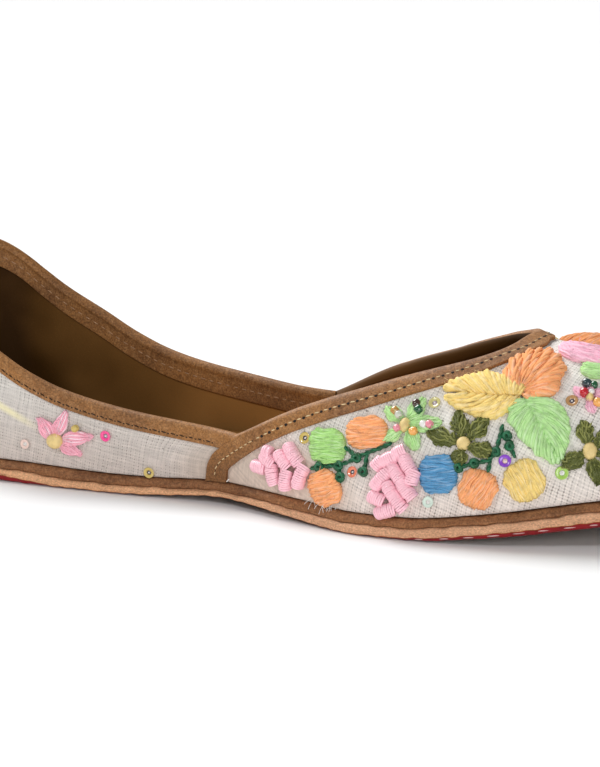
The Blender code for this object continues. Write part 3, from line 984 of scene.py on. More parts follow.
def make_bindings():
    # The bindings' leather carries painted shade where it runs low, on the strip by the sole.
    leather = leather_finish("binding_leather", LEATHER_BROWN, LEATHER_WORN, LEATHER_DARK, low_shade=0.85)
    share = np.linspace(0, 1, 121)
    rows = []
    for row, (reach, off) in enumerate(fold_section(COLLAR_BINDING_WIDTH, COLLAR_FOLD)):
        drop = reach if row <= OUTER_ROWS else 0.0
        rows.append(collar_line(share, reach, off, drop)[0])
    points = np.stack(rows, 1)
    points[0, :, 1] = 0
    collar = grid_sheet("collar_binding", points)
    both_sides(collar)
    thicken(collar, COLLAR_THICKNESS, 1)
    round_edges(collar, COLLAR_BEVEL * MM, 3, 50)
    wear(collar, leather)
    settle(collar, "collar_binding")

    curled = JUNCTION_RISE + CURL_RISE
    rise = np.concatenate([
        np.linspace(0, JUNCTION_RISE, 15), np.linspace(JUNCTION_RISE, curled, 9)[1:],
        np.linspace(curled, 1, 110)[1:],
    ])
    far = vamp_half(rise, far_edge(rise))
    near = vamp_half(rise, curve(BINDING, "edge", rise, by="rise"))
    points = np.concatenate([far, (near * OTHER_SIDE)[-2::-1]])
    vamp = grid_sheet("vamp_binding", points)
    # The facing rows of the vamp's binding take a darker brown: painted shade inside the throat.
    wear(vamp, leather, lining_finish("shaded_facing_leather", FACING_SHADE_BROWN))
    paint_rows(vamp, [0] * FOLD_TOP + [1] * (points.shape[1] - FOLD_TOP - 1))
    thicken(vamp, VAMP_THICKNESS, 1)
    round_edges(vamp, VAMP_BEVEL * MM, 3, 50)
    settle(vamp, "vamp_binding")


# Stitches of the bindings and the sole
def spaced(points, normals, pitch):
    """Places at even distances along a line, with directions along it, across it and off it."""
    run = run_lengths(points, 0)
    at = np.arange(pitch / 2, run[-1], pitch)
    forward = unit(read_off(at + 0.2, run, points) - read_off(at - 0.2, run, points))
    normal = unit(read_off(at, run, normals))
    return read_off(at, run, points), forward, unit(np.cross(normal, forward)), normal


STITCH_PITCH, STRIP_STITCH_PITCH, SOLE_STITCH_PITCH = 2.45, 1.75, 6.1
STITCH_SINK = 0.03
SOLE_STITCH_START = 161.0


def make_stitches():
    """Stitches along both bindings and in the sole's painted edge, with needle holes."""
    bpy.ops.mesh.primitive_uv_sphere_add(segments=10, ring_count=8, radius=1)
    bead = pattern()
    lumps, near, far = [], [], []

    def sew(line, pitch, length, width, finish, hole=0.0, tilt=0.0, into=lumps):
        place, forward, side, normal = spaced(*line, pitch)
        forward = unit(forward + tilt * side)
        side = unit(np.cross(normal, forward))
        long = length * CHANCE.uniform(0.8, 1.1, (len(place), 1))
        into.append(copies(bead, place, forward * long, side * width, normal * width * 0.8, finish))
        if hole:
            gap = place + forward * pitch / 2
            into.append(copies(bead, gap, forward * hole, side * hole * 0.8, normal * 0.12, "hole"))

    face = BINDING_GAP + COLLAR_THICKNESS
    share = np.linspace(0, 0.97, 400)
    sew(collar_line(share, 1.25, face - STITCH_SINK, 0.0), STITCH_PITCH, 0.75, 0.2, "dark", 0.26, 0.12)
    inner = collar_line(share, 2.3, -WALL - face + STITCH_SINK, 0.0)
    sew((inner[0], -inner[1]), STITCH_PITCH, 0.8, 0.17, "tan")
    rise = np.concatenate([np.linspace(0.012, JUNCTION_RISE, 60), np.linspace(JUNCTION_RISE, 1, 500)[1:]])
    reach = curve(BINDING, "stitch", rise, by="rise")
    strip = rise < JUNCTION_RISE + 0.05
    for into, inset in ((near, reach), (far, np.minimum(reach, far_edge(rise) - 1.2))):
        line = vamp_line(rise, inset, BINDING_GAP + VAMP_THICKNESS - STITCH_SINK)
        sew([part[strip] for part in line], STRIP_STITCH_PITCH, 0.6, 0.15, "cream", 0.18, 0.1, into)
        sew([part[~strip] for part in line], STITCH_PITCH, 0.64, 0.18, "cream", 0.46, 0.1, into)
    angle = np.linspace(angle_at(SOLE_STITCH_START), np.pi - 0.02, 500)
    paint = curve(SOLE_LINES, "paint", station_at(angle))
    rim = outline(angle, 0.5)
    outwards = outline(angle) - rim
    normals = unit(np.column_stack([outwards, -0.35 * np.linalg.norm(outwards, axis=1)]))
    sew((over_sole(rim, 0.04 + 0.55 * paint), normals), SOLE_STITCH_PITCH, 1.6, 0.16, "pale", 0.0, 0.02)
    threads = {name: yarn_finish("thread_" + name, colour) for name, colour in THREADS.items()}
    threads["hole"] = Finish("needle_hole", HOLE_BLACK, 0.9).material
    joined_mesh("stitches", lumps, threads)
    joined_mesh("near_stitches", near, threads, "near")
    joined_mesh("far_stitches", far, threads, "far")


# Embroidery, laid where the photograph shows it
TREE_COLUMNS, TREE_ROWS = 260, 90
TREE_ANGLE = np.linspace(0.05, np.pi - 0.02, TREE_COLUMNS + 1)
TREE_RISE = np.linspace(-0.06, 1, TREE_ROWS + 1)


def cloth_tree():
    """The upper's outer face on its own side, for lines of sight to meet."""
    points = form(TREE_ANGLE[:, None], TREE_RISE).reshape(-1, 3)
    corner = np.arange(len(points)).reshape(TREE_COLUMNS + 1, TREE_ROWS + 1)
    square = quads(corner)
    faces = np.concatenate([square[:, [0, 1, 2]], square[:, [0, 2, 3]]])
    return BVHTree.FromPolygons(points.tolist(), faces.tolist(), all_triangles=True)


CLOTH_TREE = cloth_tree()


def on_cloth(spots):
    """Angle and rise of the places on the upper that spots of the photograph show."""
    spots = np.asarray(spots, float)
    offset = (spots - PHOTO_CENTRE) / FOCAL_PIXELS
    lines = unit(offset[..., :1] * CAMERA_RIGHT - offset[..., 1:] * CAMERA_UP - CAMERA_BACK) * OTHER_SIDE
    lines = lines.reshape(-1, 3)
    eye = EYE * OTHER_SIDE
    found = []
    for line in lines:
        place, _, face, _ = CLOTH_TREE.ray_cast(Vector(eye), Vector(line))
        if place is None:
            place, _, face, _ = CLOTH_TREE.find_nearest(Vector(eye - line * eye[1] / line[1]))
        found.append((*place, *divmod(face % (TREE_COLUMNS * TREE_ROWS), TREE_ROWS)))
    found = np.array(found)
    column, row = found[:, 3].astype(int), found[:, 4].astype(int)
    corner = form(TREE_ANGLE[column], TREE_RISE[row])
    along = form(TREE_ANGLE[column + 1], TREE_RISE[row]) - corner
    up = form(TREE_ANGLE[column], TREE_RISE[row + 1]) - corner
    a, b = components(found[:, :3] - corner, along, up)
    angle = TREE_ANGLE[column] + a * (TREE_ANGLE[1] - TREE_ANGLE[0])
    rise = np.minimum(TREE_RISE[row] + b * (TREE_RISE[1] - TREE_RISE[0]), 1)
    return angle.reshape(spots.shape[:-1]), rise.reshape(spots.shape[:-1])


def seen(points):
    """Spots at which the camera sees points of the far side once they are mirrored to the near one."""
    offset = points * OTHER_SIDE - EYE
    depth = -dot(offset, CAMERA_BACK)[..., None]
    across = np.stack([dot(offset, CAMERA_RIGHT), -dot(offset, CAMERA_UP)], -1)
    return PHOTO_CENTRE + FOCAL_PIXELS * across / depth


def lay(spots, height=0.0):
    """Points at a height off the cloth that are seen at spots of the photograph, with the normals there."""
    spots = np.asarray(spots, float)
    angle, rise = on_cloth(spots)
    height = np.broadcast_to(height, angle.shape)[..., None]
    shift = seen(form(angle, rise) + height * wall_normal(angle, rise)) - seen(form(angle, rise))
    angle, rise = on_cloth(spots - shift)
    normal = wall_normal(angle, rise)
    return form(angle, rise) + height * normal, normal


TUBE_SIDES = 5
STRAND_POINTS = 14
STRAND_RUN = (1 - np.cos(np.pi * np.linspace(0, 1, STRAND_POINTS))) / 2
FUZZ_RADIUS = 0.045
FAN_CROSSING = 0.07
PETAL_DOME = 0.9
STEM_YARN, COIL_YARN, COIL_SIZE = 0.62, 0.55, 4.0


def across_paths(paths, normals):
    """Directions across paths, sideways and upwards."""
    forward = unit(np.gradient(paths, axis=1))
    side = unit(np.cross(forward, normals))
    return side, np.cross(side, forward)


def tubes(paths, normals, radius, finish, sides=TUBE_SIDES):
    """Round strands along paths, closed at both ends."""
    side, top = across_paths(paths, normals)
    turn = 2 * np.pi * np.arange(sides) / sides
    ring = np.cos(turn)[:, None] * side[:, :, None] + np.sin(turn)[:, None] * top[:, :, None]
    points = paths[:, :, None] + np.broadcast_to(radius, paths.shape[:2])[..., None, None] * ring
    corner = np.arange(points.size // 3).reshape(points.shape[:3])
    a, b = corner[:, :-1], corner[:, 1:]
    wall = np.stack([a, b, np.roll(b, -1, 2), np.roll(a, -1, 2)], -1).reshape(-1, 4)
    return points.reshape(-1, 3), [wall, corner[:, 0], corner[:, -1, ::-1]], finish


def yarns(paths, normals, radius, finish, plies=6, pitch=15.0, fine=0.42):
    """Loosely twisted yarn along paths, with rounded ends, each ply a fine strand of its own."""
    radius = np.broadcast_to(radius, paths.shape[:2])
    run = run_lengths(paths, 1)
    to_end = np.minimum(run, run[:, -1:] - run) / radius
    blunt = np.sqrt(np.clip(1 - np.clip(1 - to_end, 0, 0.95)**2, 0, 1))
    side, top = across_paths(paths, normals)
    each = (len(paths), 1)
    start = CHANCE.uniform(0, 1, each)
    lumps = []
    for ply in range(plies):
        drift = CHANCE.normal(0, 0.06, each) * np.sin(run / 2.5 + CHANCE.uniform(0, 6.28, each))
        phase = 2 * np.pi * (start + ply / plies + run / pitch + drift)
        swing = np.cos(phase)[..., None] * side + np.sin(phase)[..., None] * top
        out = (1 - fine) * radius * blunt * CHANCE.uniform(0.82, 1.12, each)
        tone = finish + "_pale" if ply % 3 == 1 else finish
        lumps.append(tubes(paths + out[..., None] * swing, normals, fine * radius * blunt, tone))
    return lumps


def fuzz(paths, normals, radius, finish, count):
    """Loose fibres that stand off a set of strands."""
    strand = CHANCE.integers(0, len(paths), count)
    at = CHANCE.integers(1, paths.shape[1] - 1, count)
    normal = normals[strand, at]
    forward = unit(paths[strand, at] - paths[strand, at - 1])
    side = np.cross(normal, forward)
    sway = CHANCE.normal(0, 1, (count, 3))
    heading = unit(sway[:, :1] * forward + 0.7 * sway[:, 1:2] * side + 0.6 * np.abs(sway[:, 2:]) * normal)
    bend = 0.35 * CHANCE.normal(0, 1, (count, 3))
    run = np.linspace(0, 1, 4)[:, None]
    length = CHANCE.uniform(0.4, 1.1, (count, 1, 1))
    root = paths[strand, at] + 0.8 * radius * normal
    path = root[:, None] + length * (heading[:, None] * run + bend[:, None] * run**2)
    aside = np.broadcast_to(np.cross(heading, normal)[:, None], path.shape)
    return tubes(path, aside, FUZZ_RADIUS, finish, 3)


def padding(paths, normals, radius, finish):
    """A closed slab just under strands that lie side by side, so that no cloth shows between them."""
    top = paths - 0.3 * radius[:, None] * normals
    points = np.stack([top, top - 0.8 * normals])
    corner = np.arange(points.size // 3).reshape(points.shape[:3])
    sheets = [quads(corner[0]), quads(corner[1, :, ::-1])]
    rim = [corner[:, :, 0], corner[:, -1], corner[:, ::-1, -1], corner[:, 0, ::-1]]
    rim = np.concatenate([side[:, :-1] for side in rim], 1)
    after = np.roll(rim, -1, 1)
    sheets.append(np.stack([rim[0], rim[1], after[1], after[0]], -1))
    flip = dot(np.cross(top[1, 0] - top[0, 0], top[0, 1] - top[0, 0]), normals[0, 0]) < 0
    return points.reshape(-1, 3), [sheet[:, ::-1] if flip else sheet for sheet in sheets], finish


def layered(paths, normals, radius, yarn, hairs, plies=6):
    """Yarns side by side over plain strands and a padding that fill the grooves, with some loose fibres."""
    between = (paths[:-1] + paths[1:]) / 2 - 0.5 * radius[:, None] * normals[1:]
    lumps = yarns(paths, normals, radius, yarn, plies)
    lumps += yarns(between, normals[1:], radius, yarn, 1, 15.0, 1.0)
    lumps.append(padding(paths, normals, radius, yarn))
    if hairs:
        lumps.append(fuzz(paths, normals, radius.mean(), yarn + "_pale", hairs * len(paths)))
    return lumps


def along_line(points, share):
    """Places along a polyline of spots at shares of its length."""
    points = np.asarray(points, float)
    run = run_lengths(points, 0)
    return read_off(share * run[-1], run, points)


def by_turns(spots, share):
    """Places between listed spots, each of which takes an equal share."""
    spots = np.asarray(spots, float)
    return read_off(share * (len(spots) - 1), np.arange(len(spots)), spots)


def bent_line(spots, count):
    """A smooth line through spots."""
    path = along_line(spots, np.linspace(0, 1, count))
    for _ in range(max(1, count // 6)):
        path[1:-1] = (path[:-2] + 2 * path[1:-1] + path[2:]) / 4
    return path


def strand_radius(paths, tight, low, high):
    """Half the distance between neighbouring strands along their run, so that they fill the shape."""
    gap = np.linalg.norm(np.diff(paths, axis=0), axis=-1).mean(0)
    return np.clip(tight * gap, low, high)


def satin_pad(yarn, x, y, along, across, tilt, strands, dome=1.5, hairs=5):
    """Raised oval of strands laid side by side."""
    place = (np.arange(strands) + 0.5) / strands * 2 - 1
    half = (1 - np.abs(place)**2.4)**(1 / 2.4)
    run = 2 * STRAND_RUN - 1
    each = (strands, 1)
    reach = half[:, None] * run * along + CHANCE.normal(0, 0.3, each)
    wander = CHANCE.normal(0, 0.06, each) * run + CHANCE.normal(0, 0.05, each) * np.cos(2.5 * run)
    wander = wander + CHANCE.normal(0, 0.035, each) * np.sin(5 * run + CHANCE.uniform(0, 6.28, each))
    aside = (place[:, None] + wander * (1 - 0.6 * place[:, None]**2)) * across
    turn = np.radians(tilt)
    spots = np.stack([
        x + reach * np.cos(turn) - aside * np.sin(turn), y + reach * np.sin(turn) + aside * np.cos(turn),
    ], -1)
    swell = (1 - 0.85 * place**2)[:, None]**0.5 * (1 - run**4)**0.5
    height = dome * swell - 0.1 + CHANCE.normal(0, 0.13, each) * (1 - run**2)
    roll = CHANCE.normal(0, 0.1, each) * np.sin(4 * run + CHANCE.uniform(0, 6.28, each))
    height = height + roll * (1 - run**2)
    paths, normals = lay(spots, height)
    return layered(paths, normals, strand_radius(paths, 0.66, 0.4, 0.9), yarn, hairs)


def fan(yarn, starts, ends, strands, bow=0.0, tight=0.66):
    """Strands from one set of spots to another, full along their run, as in leaves."""
    share = (np.arange(strands) + 0.5) / strands
    start, end = by_turns(starts, share), along_line(ends, share)
    start = start + CHANCE.normal(0, 0.4, start.shape)
    end = end + CHANCE.normal(0, 0.9, end.shape)
    run = STRAND_RUN[:, None]
    across = (end - start)[:, ::-1] * [1, -1]
    reach = (1 + FAN_CROSSING) * run - FAN_CROSSING
    spots = start[:, None] + (end - start)[:, None] * reach + bow * across[:, None] * np.sin(np.pi * run)
    height = 0.35 + np.sin(np.pi * (0.15 + 0.8 * STRAND_RUN)) + CHANCE.normal(0, 0.16, (strands, 1))
    paths, normals = lay(spots, height)
    return layered(paths, normals, strand_radius(paths, tight, 0.38, 1.2), yarn, 8)


def petal(yarn, base, tip, width, strands, pointed=False, tangle=0.35, plies=4):
    """Strands side by side from a flower's middle to a tip that is round or pointed."""
    base, tip = np.asarray(base, float), np.asarray(tip, float)
    place = np.linspace(-1, 1, strands)
    run = STRAND_RUN
    aside = unit((tip - base)[::-1] * [1, -1])
    if pointed:
        bulge, shorter = 0.2 + 0.8 * np.sin(np.pi * np.clip(run, 0, 0.88)**0.85), 0.12
    else:
        bulge, shorter = 0.3 + 0.7 * ease(run / 0.75) - 0.12 * run**6, 0.36
    reach = (1 - shorter * place**2 + CHANCE.normal(0, 0.04, strands))[:, None] * run
    sideways = place[:, None] * bulge * width / 2 + CHANCE.normal(0, tangle, (strands, STRAND_POINTS))
    spots = base + reach[..., None] * (tip - base) + sideways[..., None] * aside
    height = 0.2 + PETAL_DOME * np.sin(np.pi * (0.1 + 0.8 * run)) * (1 - 0.4 * place**2)[:, None]
    paths, normals = lay(spots, height + CHANCE.normal(0, 0.25 * tangle, (strands, STRAND_POINTS)))
    return layered(paths, normals, strand_radius(paths, 0.64, 0.22, 0.6), yarn, 6, plies)


def stem(yarn, spots, radius=STEM_YARN):
    """One twisted yarn along a line of spots."""
    path = bent_line(spots, max(16, 6 * len(spots)))
    paths, normals = lay(path[None], 0.45)
    return yarns(paths, normals, radius, yarn, 2, 3.2, 0.58)


def coil(yarn, x, y):
    """Knot: yarn wound in a small ring with a pit in its middle."""
    turn = np.linspace(0, 4.2 * np.pi, 30)
    wide = COIL_SIZE * (1 - 0.35 * turn / turn[-1])
    spots = np.stack([x + wide * np.cos(turn), y + wide * np.sin(turn)], -1)
    paths, normals = lay(spots[None], 0.4 + 0.9 * turn / turn[-1])
    return yarns(paths, normals, COIL_YARN, yarn, 2, 4.0, 0.6)


PADS = listed("yarn x y along across tilt strands", [
    ("lime", 327.5, 446, 17, 17.5, -5, 11), ("peach", 367, 432.3, 19.5, 15.5, -8, 10),
    ("peach", 324.5, 488, 14.5, 18, -25, 11), ("blue", 437.8, 474.3, 18, 19, -6, 11),
    ("peach", 477.5, 489, 18.5, 18.5, -62, 11), ("yellow", 524.5, 480.5, 19.5, 19, 56, 11),
    ("spring", 606, 370, 24, 8, 2, 8),
])
NEAR_PAD = dict(yarn="rose", x=592, y=353, along=32, across=9, tilt=9, strands=10)
FAR_PAD = dict(yarn="peach", x=559.5, y=356.5, along=9, across=22, tilt=98, strands=13, dome=3.4, hairs=0)
FANS = listed("yarn strands bow starts ends", [
    ("spring", 15, 0.06, [(525, 400), (528, 403.5), (532, 407), (538, 419), (548, 438)], [
        (536, 397.5), (548, 399), (558, 404), (565, 410), (569, 420), (569.5, 431), (567.5, 443),
        (564.5, 454), (561, 463),
    ]),
    ("spring", 14, -0.06, [(524.5, 401), (526, 404), (531, 412), (538, 425), (551, 449)], [
        (513, 402), (509, 411), (510, 422), (515, 431), (522, 440), (531, 447), (540, 454.5),
        (549, 460), (558, 465),
    ]),
    ("yellow", 12, -0.05, [(518, 394.5), (512, 393.5), (503, 393), (488, 392.5), (462, 390.5)], [
        (525, 388), (512, 380), (500, 376), (486, 371.5), (472, 374), (459, 378), (447, 384), (440, 389),
    ]),
    ("yellow", 12, 0.05, [(518, 397), (511, 397), (503, 397.5), (488, 396), (462, 392)], [
        (516, 404), (506, 409), (497, 415), (488, 419.5), (476, 416), (466, 410), (451, 404), (442, 395),
    ]),
])
LEAF_RIB, LEAF_RIB_YARN = [(527, 404), (537, 419), (546, 437), (554, 455), (559, 464)], 1.1
NEAR_LEAF = dict(
    yarn="peach", strands=13, tight=0.74,
    starts=[(517, 392), (519, 389), (523, 388), (527, 390), (526, 394), (522, 395)],
    ends=[
        (502, 373), (509, 363), (515, 355), (526, 352), (538, 349.5), (550, 350), (560.5, 355),
        (565.5, 365), (562.5, 376), (560, 388), (550, 394.5), (538, 397), (526, 398),
    ],
)
PETALS = listed("yarn base tip width strands", [
    ("spring", (403, 421), (386, 407), 13, 5), ("spring", (407, 421), (426, 398), 13, 5),
    ("spring", (409, 425), (442, 422), 13, 5), ("spring", (407, 430), (417, 449), 13, 5),
    ("spring", (402, 429), (384, 442), 9, 4),
    ("olive", (462, 438), (458, 411), 15, 7), ("olive", (468, 440), (487, 417), 15, 7),
    ("olive", (468, 446), (493, 452), 16, 7), ("olive", (462, 449), (456, 465), 15, 7),
    ("olive", (458, 442), (427, 433), 15, 7),
    ("olive", (589, 446), (583, 420), 15, 7), ("olive", (585, 453), (563, 467), 15, 7),
    ("olive", (591, 457), (600, 484), 15, 7), ("olive", (595, 447), (612, 430), 15, 7),
    ("olive", (596, 453), (622, 458), 15, 7),
    ("salmon", (53, 438), (38, 418), 12, 5), ("salmon", (56, 436), (66, 411), 11, 5),
    ("salmon", (62, 439), (93, 437), 12, 5), ("salmon", (60, 445), (82, 455), 9, 4),
    ("rose", (586, 396), (574, 388), 8, 4), ("rose", (588, 400), (594, 413), 8, 4),
    ("rose", (594, 396), (608, 392), 8, 4), ("rose", (592, 393), (592, 383), 8, 4),
])
PETAL_STYLES = {"olive": dict(tangle=1.0, plies=2), "salmon": dict(pointed=True, tangle=0.15)}
STEMS = [
    [(310, 468.5), (323, 466.5), (338, 465.5), (351, 461), (356, 457.5), (368, 452.5), (379, 448.5),
     (392, 443)],
    [(343, 445.5), (351, 451.5), (356, 457)], [(338, 465.5), (340, 477)],
    [(367, 454), (366, 463), (363, 471)],
    [(503, 424), (500, 437), (496, 451), (490, 460.5), (475, 463), (458, 467.5), (453, 469)],
    [(490, 460), (488, 473)], [(503, 432), (507, 436), (509.5, 445), (515, 458)],
]
COILS = [
    (338.3, 465.5), (340, 477), (356.2, 457.4), (363, 471.5), (507.2, 435.6), (509.5, 445.3),
    (495.7, 451.5), (474.5, 462.8), (319, 466.5), (458, 467.8),
]
DOMES = listed("x y width height", [
    (405, 425, 11, 13), (463.5, 443.5, 14, 12), (590, 451, 14, 15), (54.7, 441, 18, 14), (590, 398, 8, 8),
])
BARRELS = listed("x y tilt length", [
    (268, 452.5, 20, 1.8), (268.2, 460, 40, 3.6), (259.7, 467.2, 15, 3.4), (282.8, 460.7, 55, 4.4),
    (292.8, 454.8, 58, 5.2), (272.1, 475.2, 78, 4.6), (285.2, 480, 95, 4.6), (300, 476.5, 110, 5.5),
    (378.5, 463.7, -45, 2.6), (388.6, 458.9, -27, 4.2), (399.9, 452, -27, 2.6), (407.3, 465, 61, 5.0),
    (412.5, 477.5, 110, 3.0), (397.3, 475.8, 57, 5.8), (405.1, 489.2, 57, 3.4), (410.3, 494.9, 57, 2.2),
    (380.8, 479.3, 131, 5.0), (389.9, 490.5, 60, 3.4), (397.3, 501.8, 55, 4.8), (376.9, 498.8, 25, 3.5),
    (385.6, 511.3, -15, 4.5),
])
SEQUINS = listed("finish middle x y size", [
    ("gold", "shade", 305, 438, 1.0), ("coral", "shade", 352.5, 472, 0.95),
    ("mint", "pearl", 428, 502, 0.95), ("honey", "mauve", 434.7, 403, 1.03),
    ("purple", "blush", 505, 461, 1.05), ("leaf", "pearl", 562, 473, 1.1),
    ("bronze", "shade", 572, 401, 1.03), ("hot_pink", "mauve", 105.6, 436, 0.95),
    ("blush", "pearl", 25, 444, 0.85), ("gold", "shade", 149, 472.5, 0.95),
])
BEADS = listed("finish x y size", [
    ("amber", 395, 410.5, 1.25), ("clear", 398.5, 414.5, 1.1), ("brown", 416.5, 403.4, 1.22),
    ("green", 418.5, 409.2, 1.28), ("pearl", 423.5, 424, 1.1), ("pink", 429.5, 424, 1.15),
    ("orange", 413.3, 431, 1.25), ("pink", 397, 428, 1.05), ("teal", 587, 383, 1.36),
    ("green", 594, 385, 1.13), ("red", 584.4, 392.4, 1.3), ("orange", 598, 402, 1.3),
    ("pearl", 591.5, 391.5, 0.85), ("gold", 75, 428.5, 1.1),
])
DISC_RADIUS, DISC_PITCH, DISC_BEVEL = 1.72, 0.44, 0.06
DOME_SWELL, DOME_LIFT, SEQUIN_LIFT, BEAD_LIFT = 1.5, 0.6, 0.3, 1.3
SEQUIN_RING, BEAD_RING = (1.02, 0.44), (0.47, 0.42)


def axes_at(row, tilt, height):
    """A place over a row's spot with three axes: along a tilt in the photograph, across, off the cloth."""
    spot = np.array([(row["x"], row["y"])], float)
    heading = np.array([np.cos(np.radians(tilt)), np.sin(np.radians(tilt))])
    place, normal = lay(spot, height)
    ahead = lay(spot + heading)[0] - lay(spot - heading)[0]
    ahead = unit(ahead - dot(ahead, normal)[:, None] * normal)
    return place, ahead, np.cross(normal, ahead), normal


def torus(radii, segments, stretch, cup=0.0):
    """Pattern of a ring, flattened or stretched along its axis."""
    bpy.ops.mesh.primitive_torus_add(
        major_segments=segments, minor_segments=10, major_radius=radii[0], minor_radius=radii[1],
    )
    return pattern(stretch, cup)


def make_embroidery():
    wool = {}
    for name, colour in YARNS.items():
        pale = PALE_YARNS.get(name, paler(colour, 0.12))
        style = YARN_STYLES.get(name, {})
        wool[name] = yarn_finish("yarn_" + name, colour, **style)
        wool[name + "_pale"] = yarn_finish("yarn_" + name + "_pale", pale, **style)
    shine = {name: gloss_finish("gloss_" + name, colour) for name, colour in GLOSSES.items()}
    joined_mesh("satin_pads", [lump for pad in PADS for lump in satin_pad(**pad)], wool)
    joined_mesh("leaves", [lump for leaf in FANS for lump in fan(**leaf)], wool)
    joined_mesh("near_leaf", fan(**NEAR_LEAF), wool, "near")
    joined_mesh("near_pad", satin_pad(**NEAR_PAD), wool, "near")
    joined_mesh("far_pad", satin_pad(**FAR_PAD), wool, "far")
    petals = [lump for row in PETALS for lump in petal(**row, **PETAL_STYLES.get(row["yarn"], {}))]
    joined_mesh("petals", petals, wool)
    stems = [lump for spots in STEMS for lump in stem("bottle", spots)]
    stems += [lump for spot in COILS for lump in coil("bottle", *spot)]
    stems += stem("spring", LEAF_RIB, LEAF_RIB_YARN)
    joined_mesh("stems", stems, wool)

    bpy.ops.mesh.primitive_uv_sphere_add(segments=20, ring_count=14, radius=1)
    ball = pattern()
    lumps = []
    for row in DOMES:
        place, ahead, side, normal = axes_at(row, 0.0, DOME_LIFT)
        wide, high = row["width"] / 2 * MM_PER_PIXEL, row["height"] / 2 * MM_PER_PIXEL
        lumps.append(copies(ball, place, ahead * wide, side * high * 1.15, normal * DOME_SWELL, "straw"))
    joined_mesh("flower_middles", lumps, wool)

    bpy.ops.mesh.primitive_cylinder_add(vertices=24, radius=DISC_RADIUS, depth=1.12 * DISC_PITCH)
    round_edges(bpy.context.object, DISC_BEVEL, 2, 60)
    disc = pattern()
    lumps = []
    for row in BARRELS:
        place, ahead, side, normal = axes_at(row, row["tilt"], DISC_RADIUS * 0.8)
        count = max(4, round(row["length"] / DISC_PITCH))
        step = (np.arange(count) - (count - 1) / 2) * DISC_PITCH
        middle = place + step[:, None] * ahead - (step**2 * 0.09)[:, None] * normal
        sideways, upwards, askew = [CHANCE.normal(0, 0.03, (count, 1)) for _ in range(3)]
        middle = middle + sideways * side + upwards * normal
        lean = unit(ahead + askew * side + (0.18 * step)[:, None] * -normal)
        across = unit(np.cross(normal, lean))
        size = CHANCE.uniform(0.97, 1.03, count)
        lumps.append(copies(disc, middle, across, np.cross(lean, across), lean, "disc_pink", size))
    joined_mesh("stacked_discs", lumps, {"disc_pink": gloss_finish("disc_pink", DISC_PINK, 0.36, 0.25)})

    ring, bead = torus(SEQUIN_RING, 24, (1, 1, 0.25), 0.12), torus(BEAD_RING, 16, (1, 1, 1.9))
    lumps = []
    for row in SEQUINS:
        place, ahead, side, normal = axes_at(row, 0.0, SEQUIN_LIFT)
        lumps.append(copies(ring, place, ahead, side, normal, row["finish"], row["size"]))
        below = place - 0.25 * normal
        lumps.append(copies(ball, below, ahead * 0.7, side * 0.7, normal * 0.2, row["middle"]))
        lumps.append(copies(ball, place, ahead * 0.24, side * 0.2, normal * 0.25, "pearl"))
    joined_mesh("sequins", lumps, shine)
    lumps = []
    for row in BEADS:
        place, ahead, side, normal = axes_at(row, CHANCE.uniform(0, 360), BEAD_LIFT)
        lumps.append(copies(bead, place, normal, side, ahead, row["finish"], row["size"]))
    joined_mesh("beads", lumps, shine)


# Loose threads
FRAY_STATIONS, FRAY_COUNT, FRAY_RISE, FRAY_OFF = (132.0, 141.0), 16, 0.012, 0.1
CURL_STATIONS, CURL_POINTS = (102.5, 106.5), 14
FRAY_YARN, CURL_YARN = 0.06, 0.16


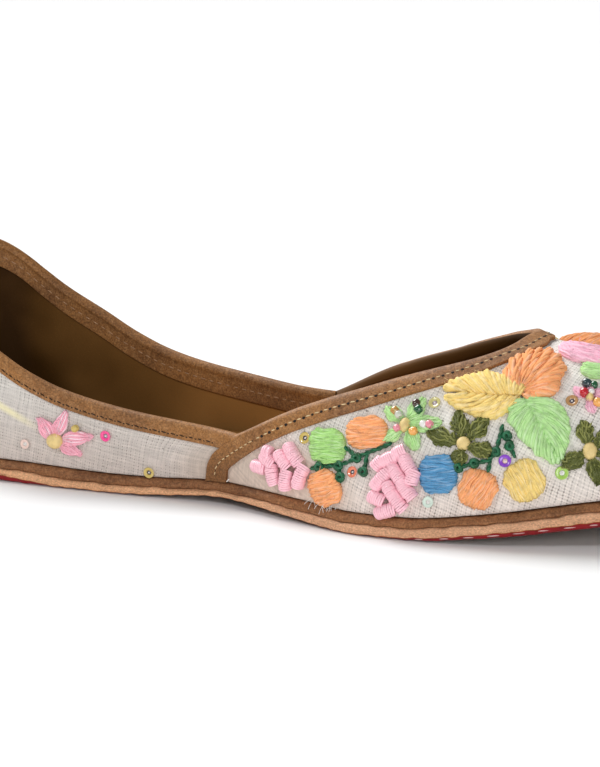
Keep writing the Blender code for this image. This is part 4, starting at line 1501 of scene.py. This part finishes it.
def make_loose_threads():
    """Frayed ends of the cloth over the sole's band, and a curl of thread at the strip's foot."""
    angle = angle_at(CHANCE.uniform(*FRAY_STATIONS, FRAY_COUNT))
    root = off_wall(angle, FRAY_RISE, FRAY_OFF)
    outwards = wall_normal(angle, 0.0)
    sway = CHANCE.normal(0, 0.45, (FRAY_COUNT, 3))
    heading = unit(np.array([0.5, 0, -0.75]) + 0.45 * outwards + sway)
    run = np.linspace(0, 1, 7)[:, None]
    length = CHANCE.uniform(1.2, 3.6, (FRAY_COUNT, 1, 1))
    bend = 0.25 * outwards[:, None] * np.sin(2 * run)
    path = root[:, None] + length * (heading[:, None] * run + bend)
    side = np.broadcast_to(np.cross(heading, outwards)[:, None], path.shape)
    lumps = [tubes(path, side, FRAY_YARN, "thread", 4)]
    angle = angle_at(np.linspace(*CURL_STATIONS, CURL_POINTS))
    rise = 0.008 + 0.006 * np.sin(np.linspace(0, 7, CURL_POINTS))
    path = off_wall(angle, rise, 0.5 + 0.3 * np.sin(np.linspace(1, 8, CURL_POINTS)))
    lumps.append(tubes(path[None], wall_normal(angle, rise)[None], CURL_YARN, "thread"))
    joined_mesh("loose_threads", lumps, {"thread": yarn_finish("thread_white", THREAD_WHITE)}, "near")


# Floor and light
FLOOR_SIZE, FLOOR_DROP = 12, 0.0001
SKY_COLOUR, SKY_STRENGTH = (0.94, 0.97, 1, 1), 0.21
SUN_PLACE, SUN_HEADING, SUN_ENERGY, SUN_WIDTH = (-0.4, 0.6, 1), (0.95, -0.45, -1), 3.8, np.radians(38)
LAMPS = listed("place size energy", [((1.25, -1.4, 0.46), 1.0, 14.8), ((-0.45, -1.0, 0.9), 0.12, 4.2)])
LIT_POINT = Vector((0, 0, 0.02))


def shine_on(place, size, energy):
    """A square lamp turned towards the shoe."""
    bpy.ops.object.light_add(type="AREA", location=place)
    lamp = bpy.context.object
    lamp.data.size = size
    lamp.data.energy = energy
    lamp.rotation_euler = facing(LIT_POINT - Vector(place))


def make_stage():
    """White floor, sky, sun and lamps."""
    bpy.ops.mesh.primitive_plane_add(size=FLOOR_SIZE, location=(0, 0, -FLOOR_DROP))
    floor = bpy.context.object
    floor.name = "floor"
    wear(floor, Finish("floor", FLOOR_WHITE, 0.9, specular_ior_level=0.0).material)
    world = bpy.data.worlds.new("studio")
    bpy.context.scene.world = world
    world.use_nodes = True
    sky = world.node_tree.nodes["Background"].inputs
    sky["Color"].default_value = SKY_COLOUR
    sky["Strength"].default_value = SKY_STRENGTH
    bpy.ops.object.light_add(type="SUN", location=SUN_PLACE)
    sun = bpy.context.object
    sun.data.energy = SUN_ENERGY
    sun.data.angle = SUN_WIDTH
    sun.rotation_euler = facing(SUN_HEADING)
    for lamp in LAMPS:
        shine_on(**lamp)
    bpy.context.scene.view_settings.view_transform = "Standard"


make_camera()
make_stage()
make_soles()
make_upper()
make_bindings()
make_stitches()
make_embroidery()
make_loose_threads()
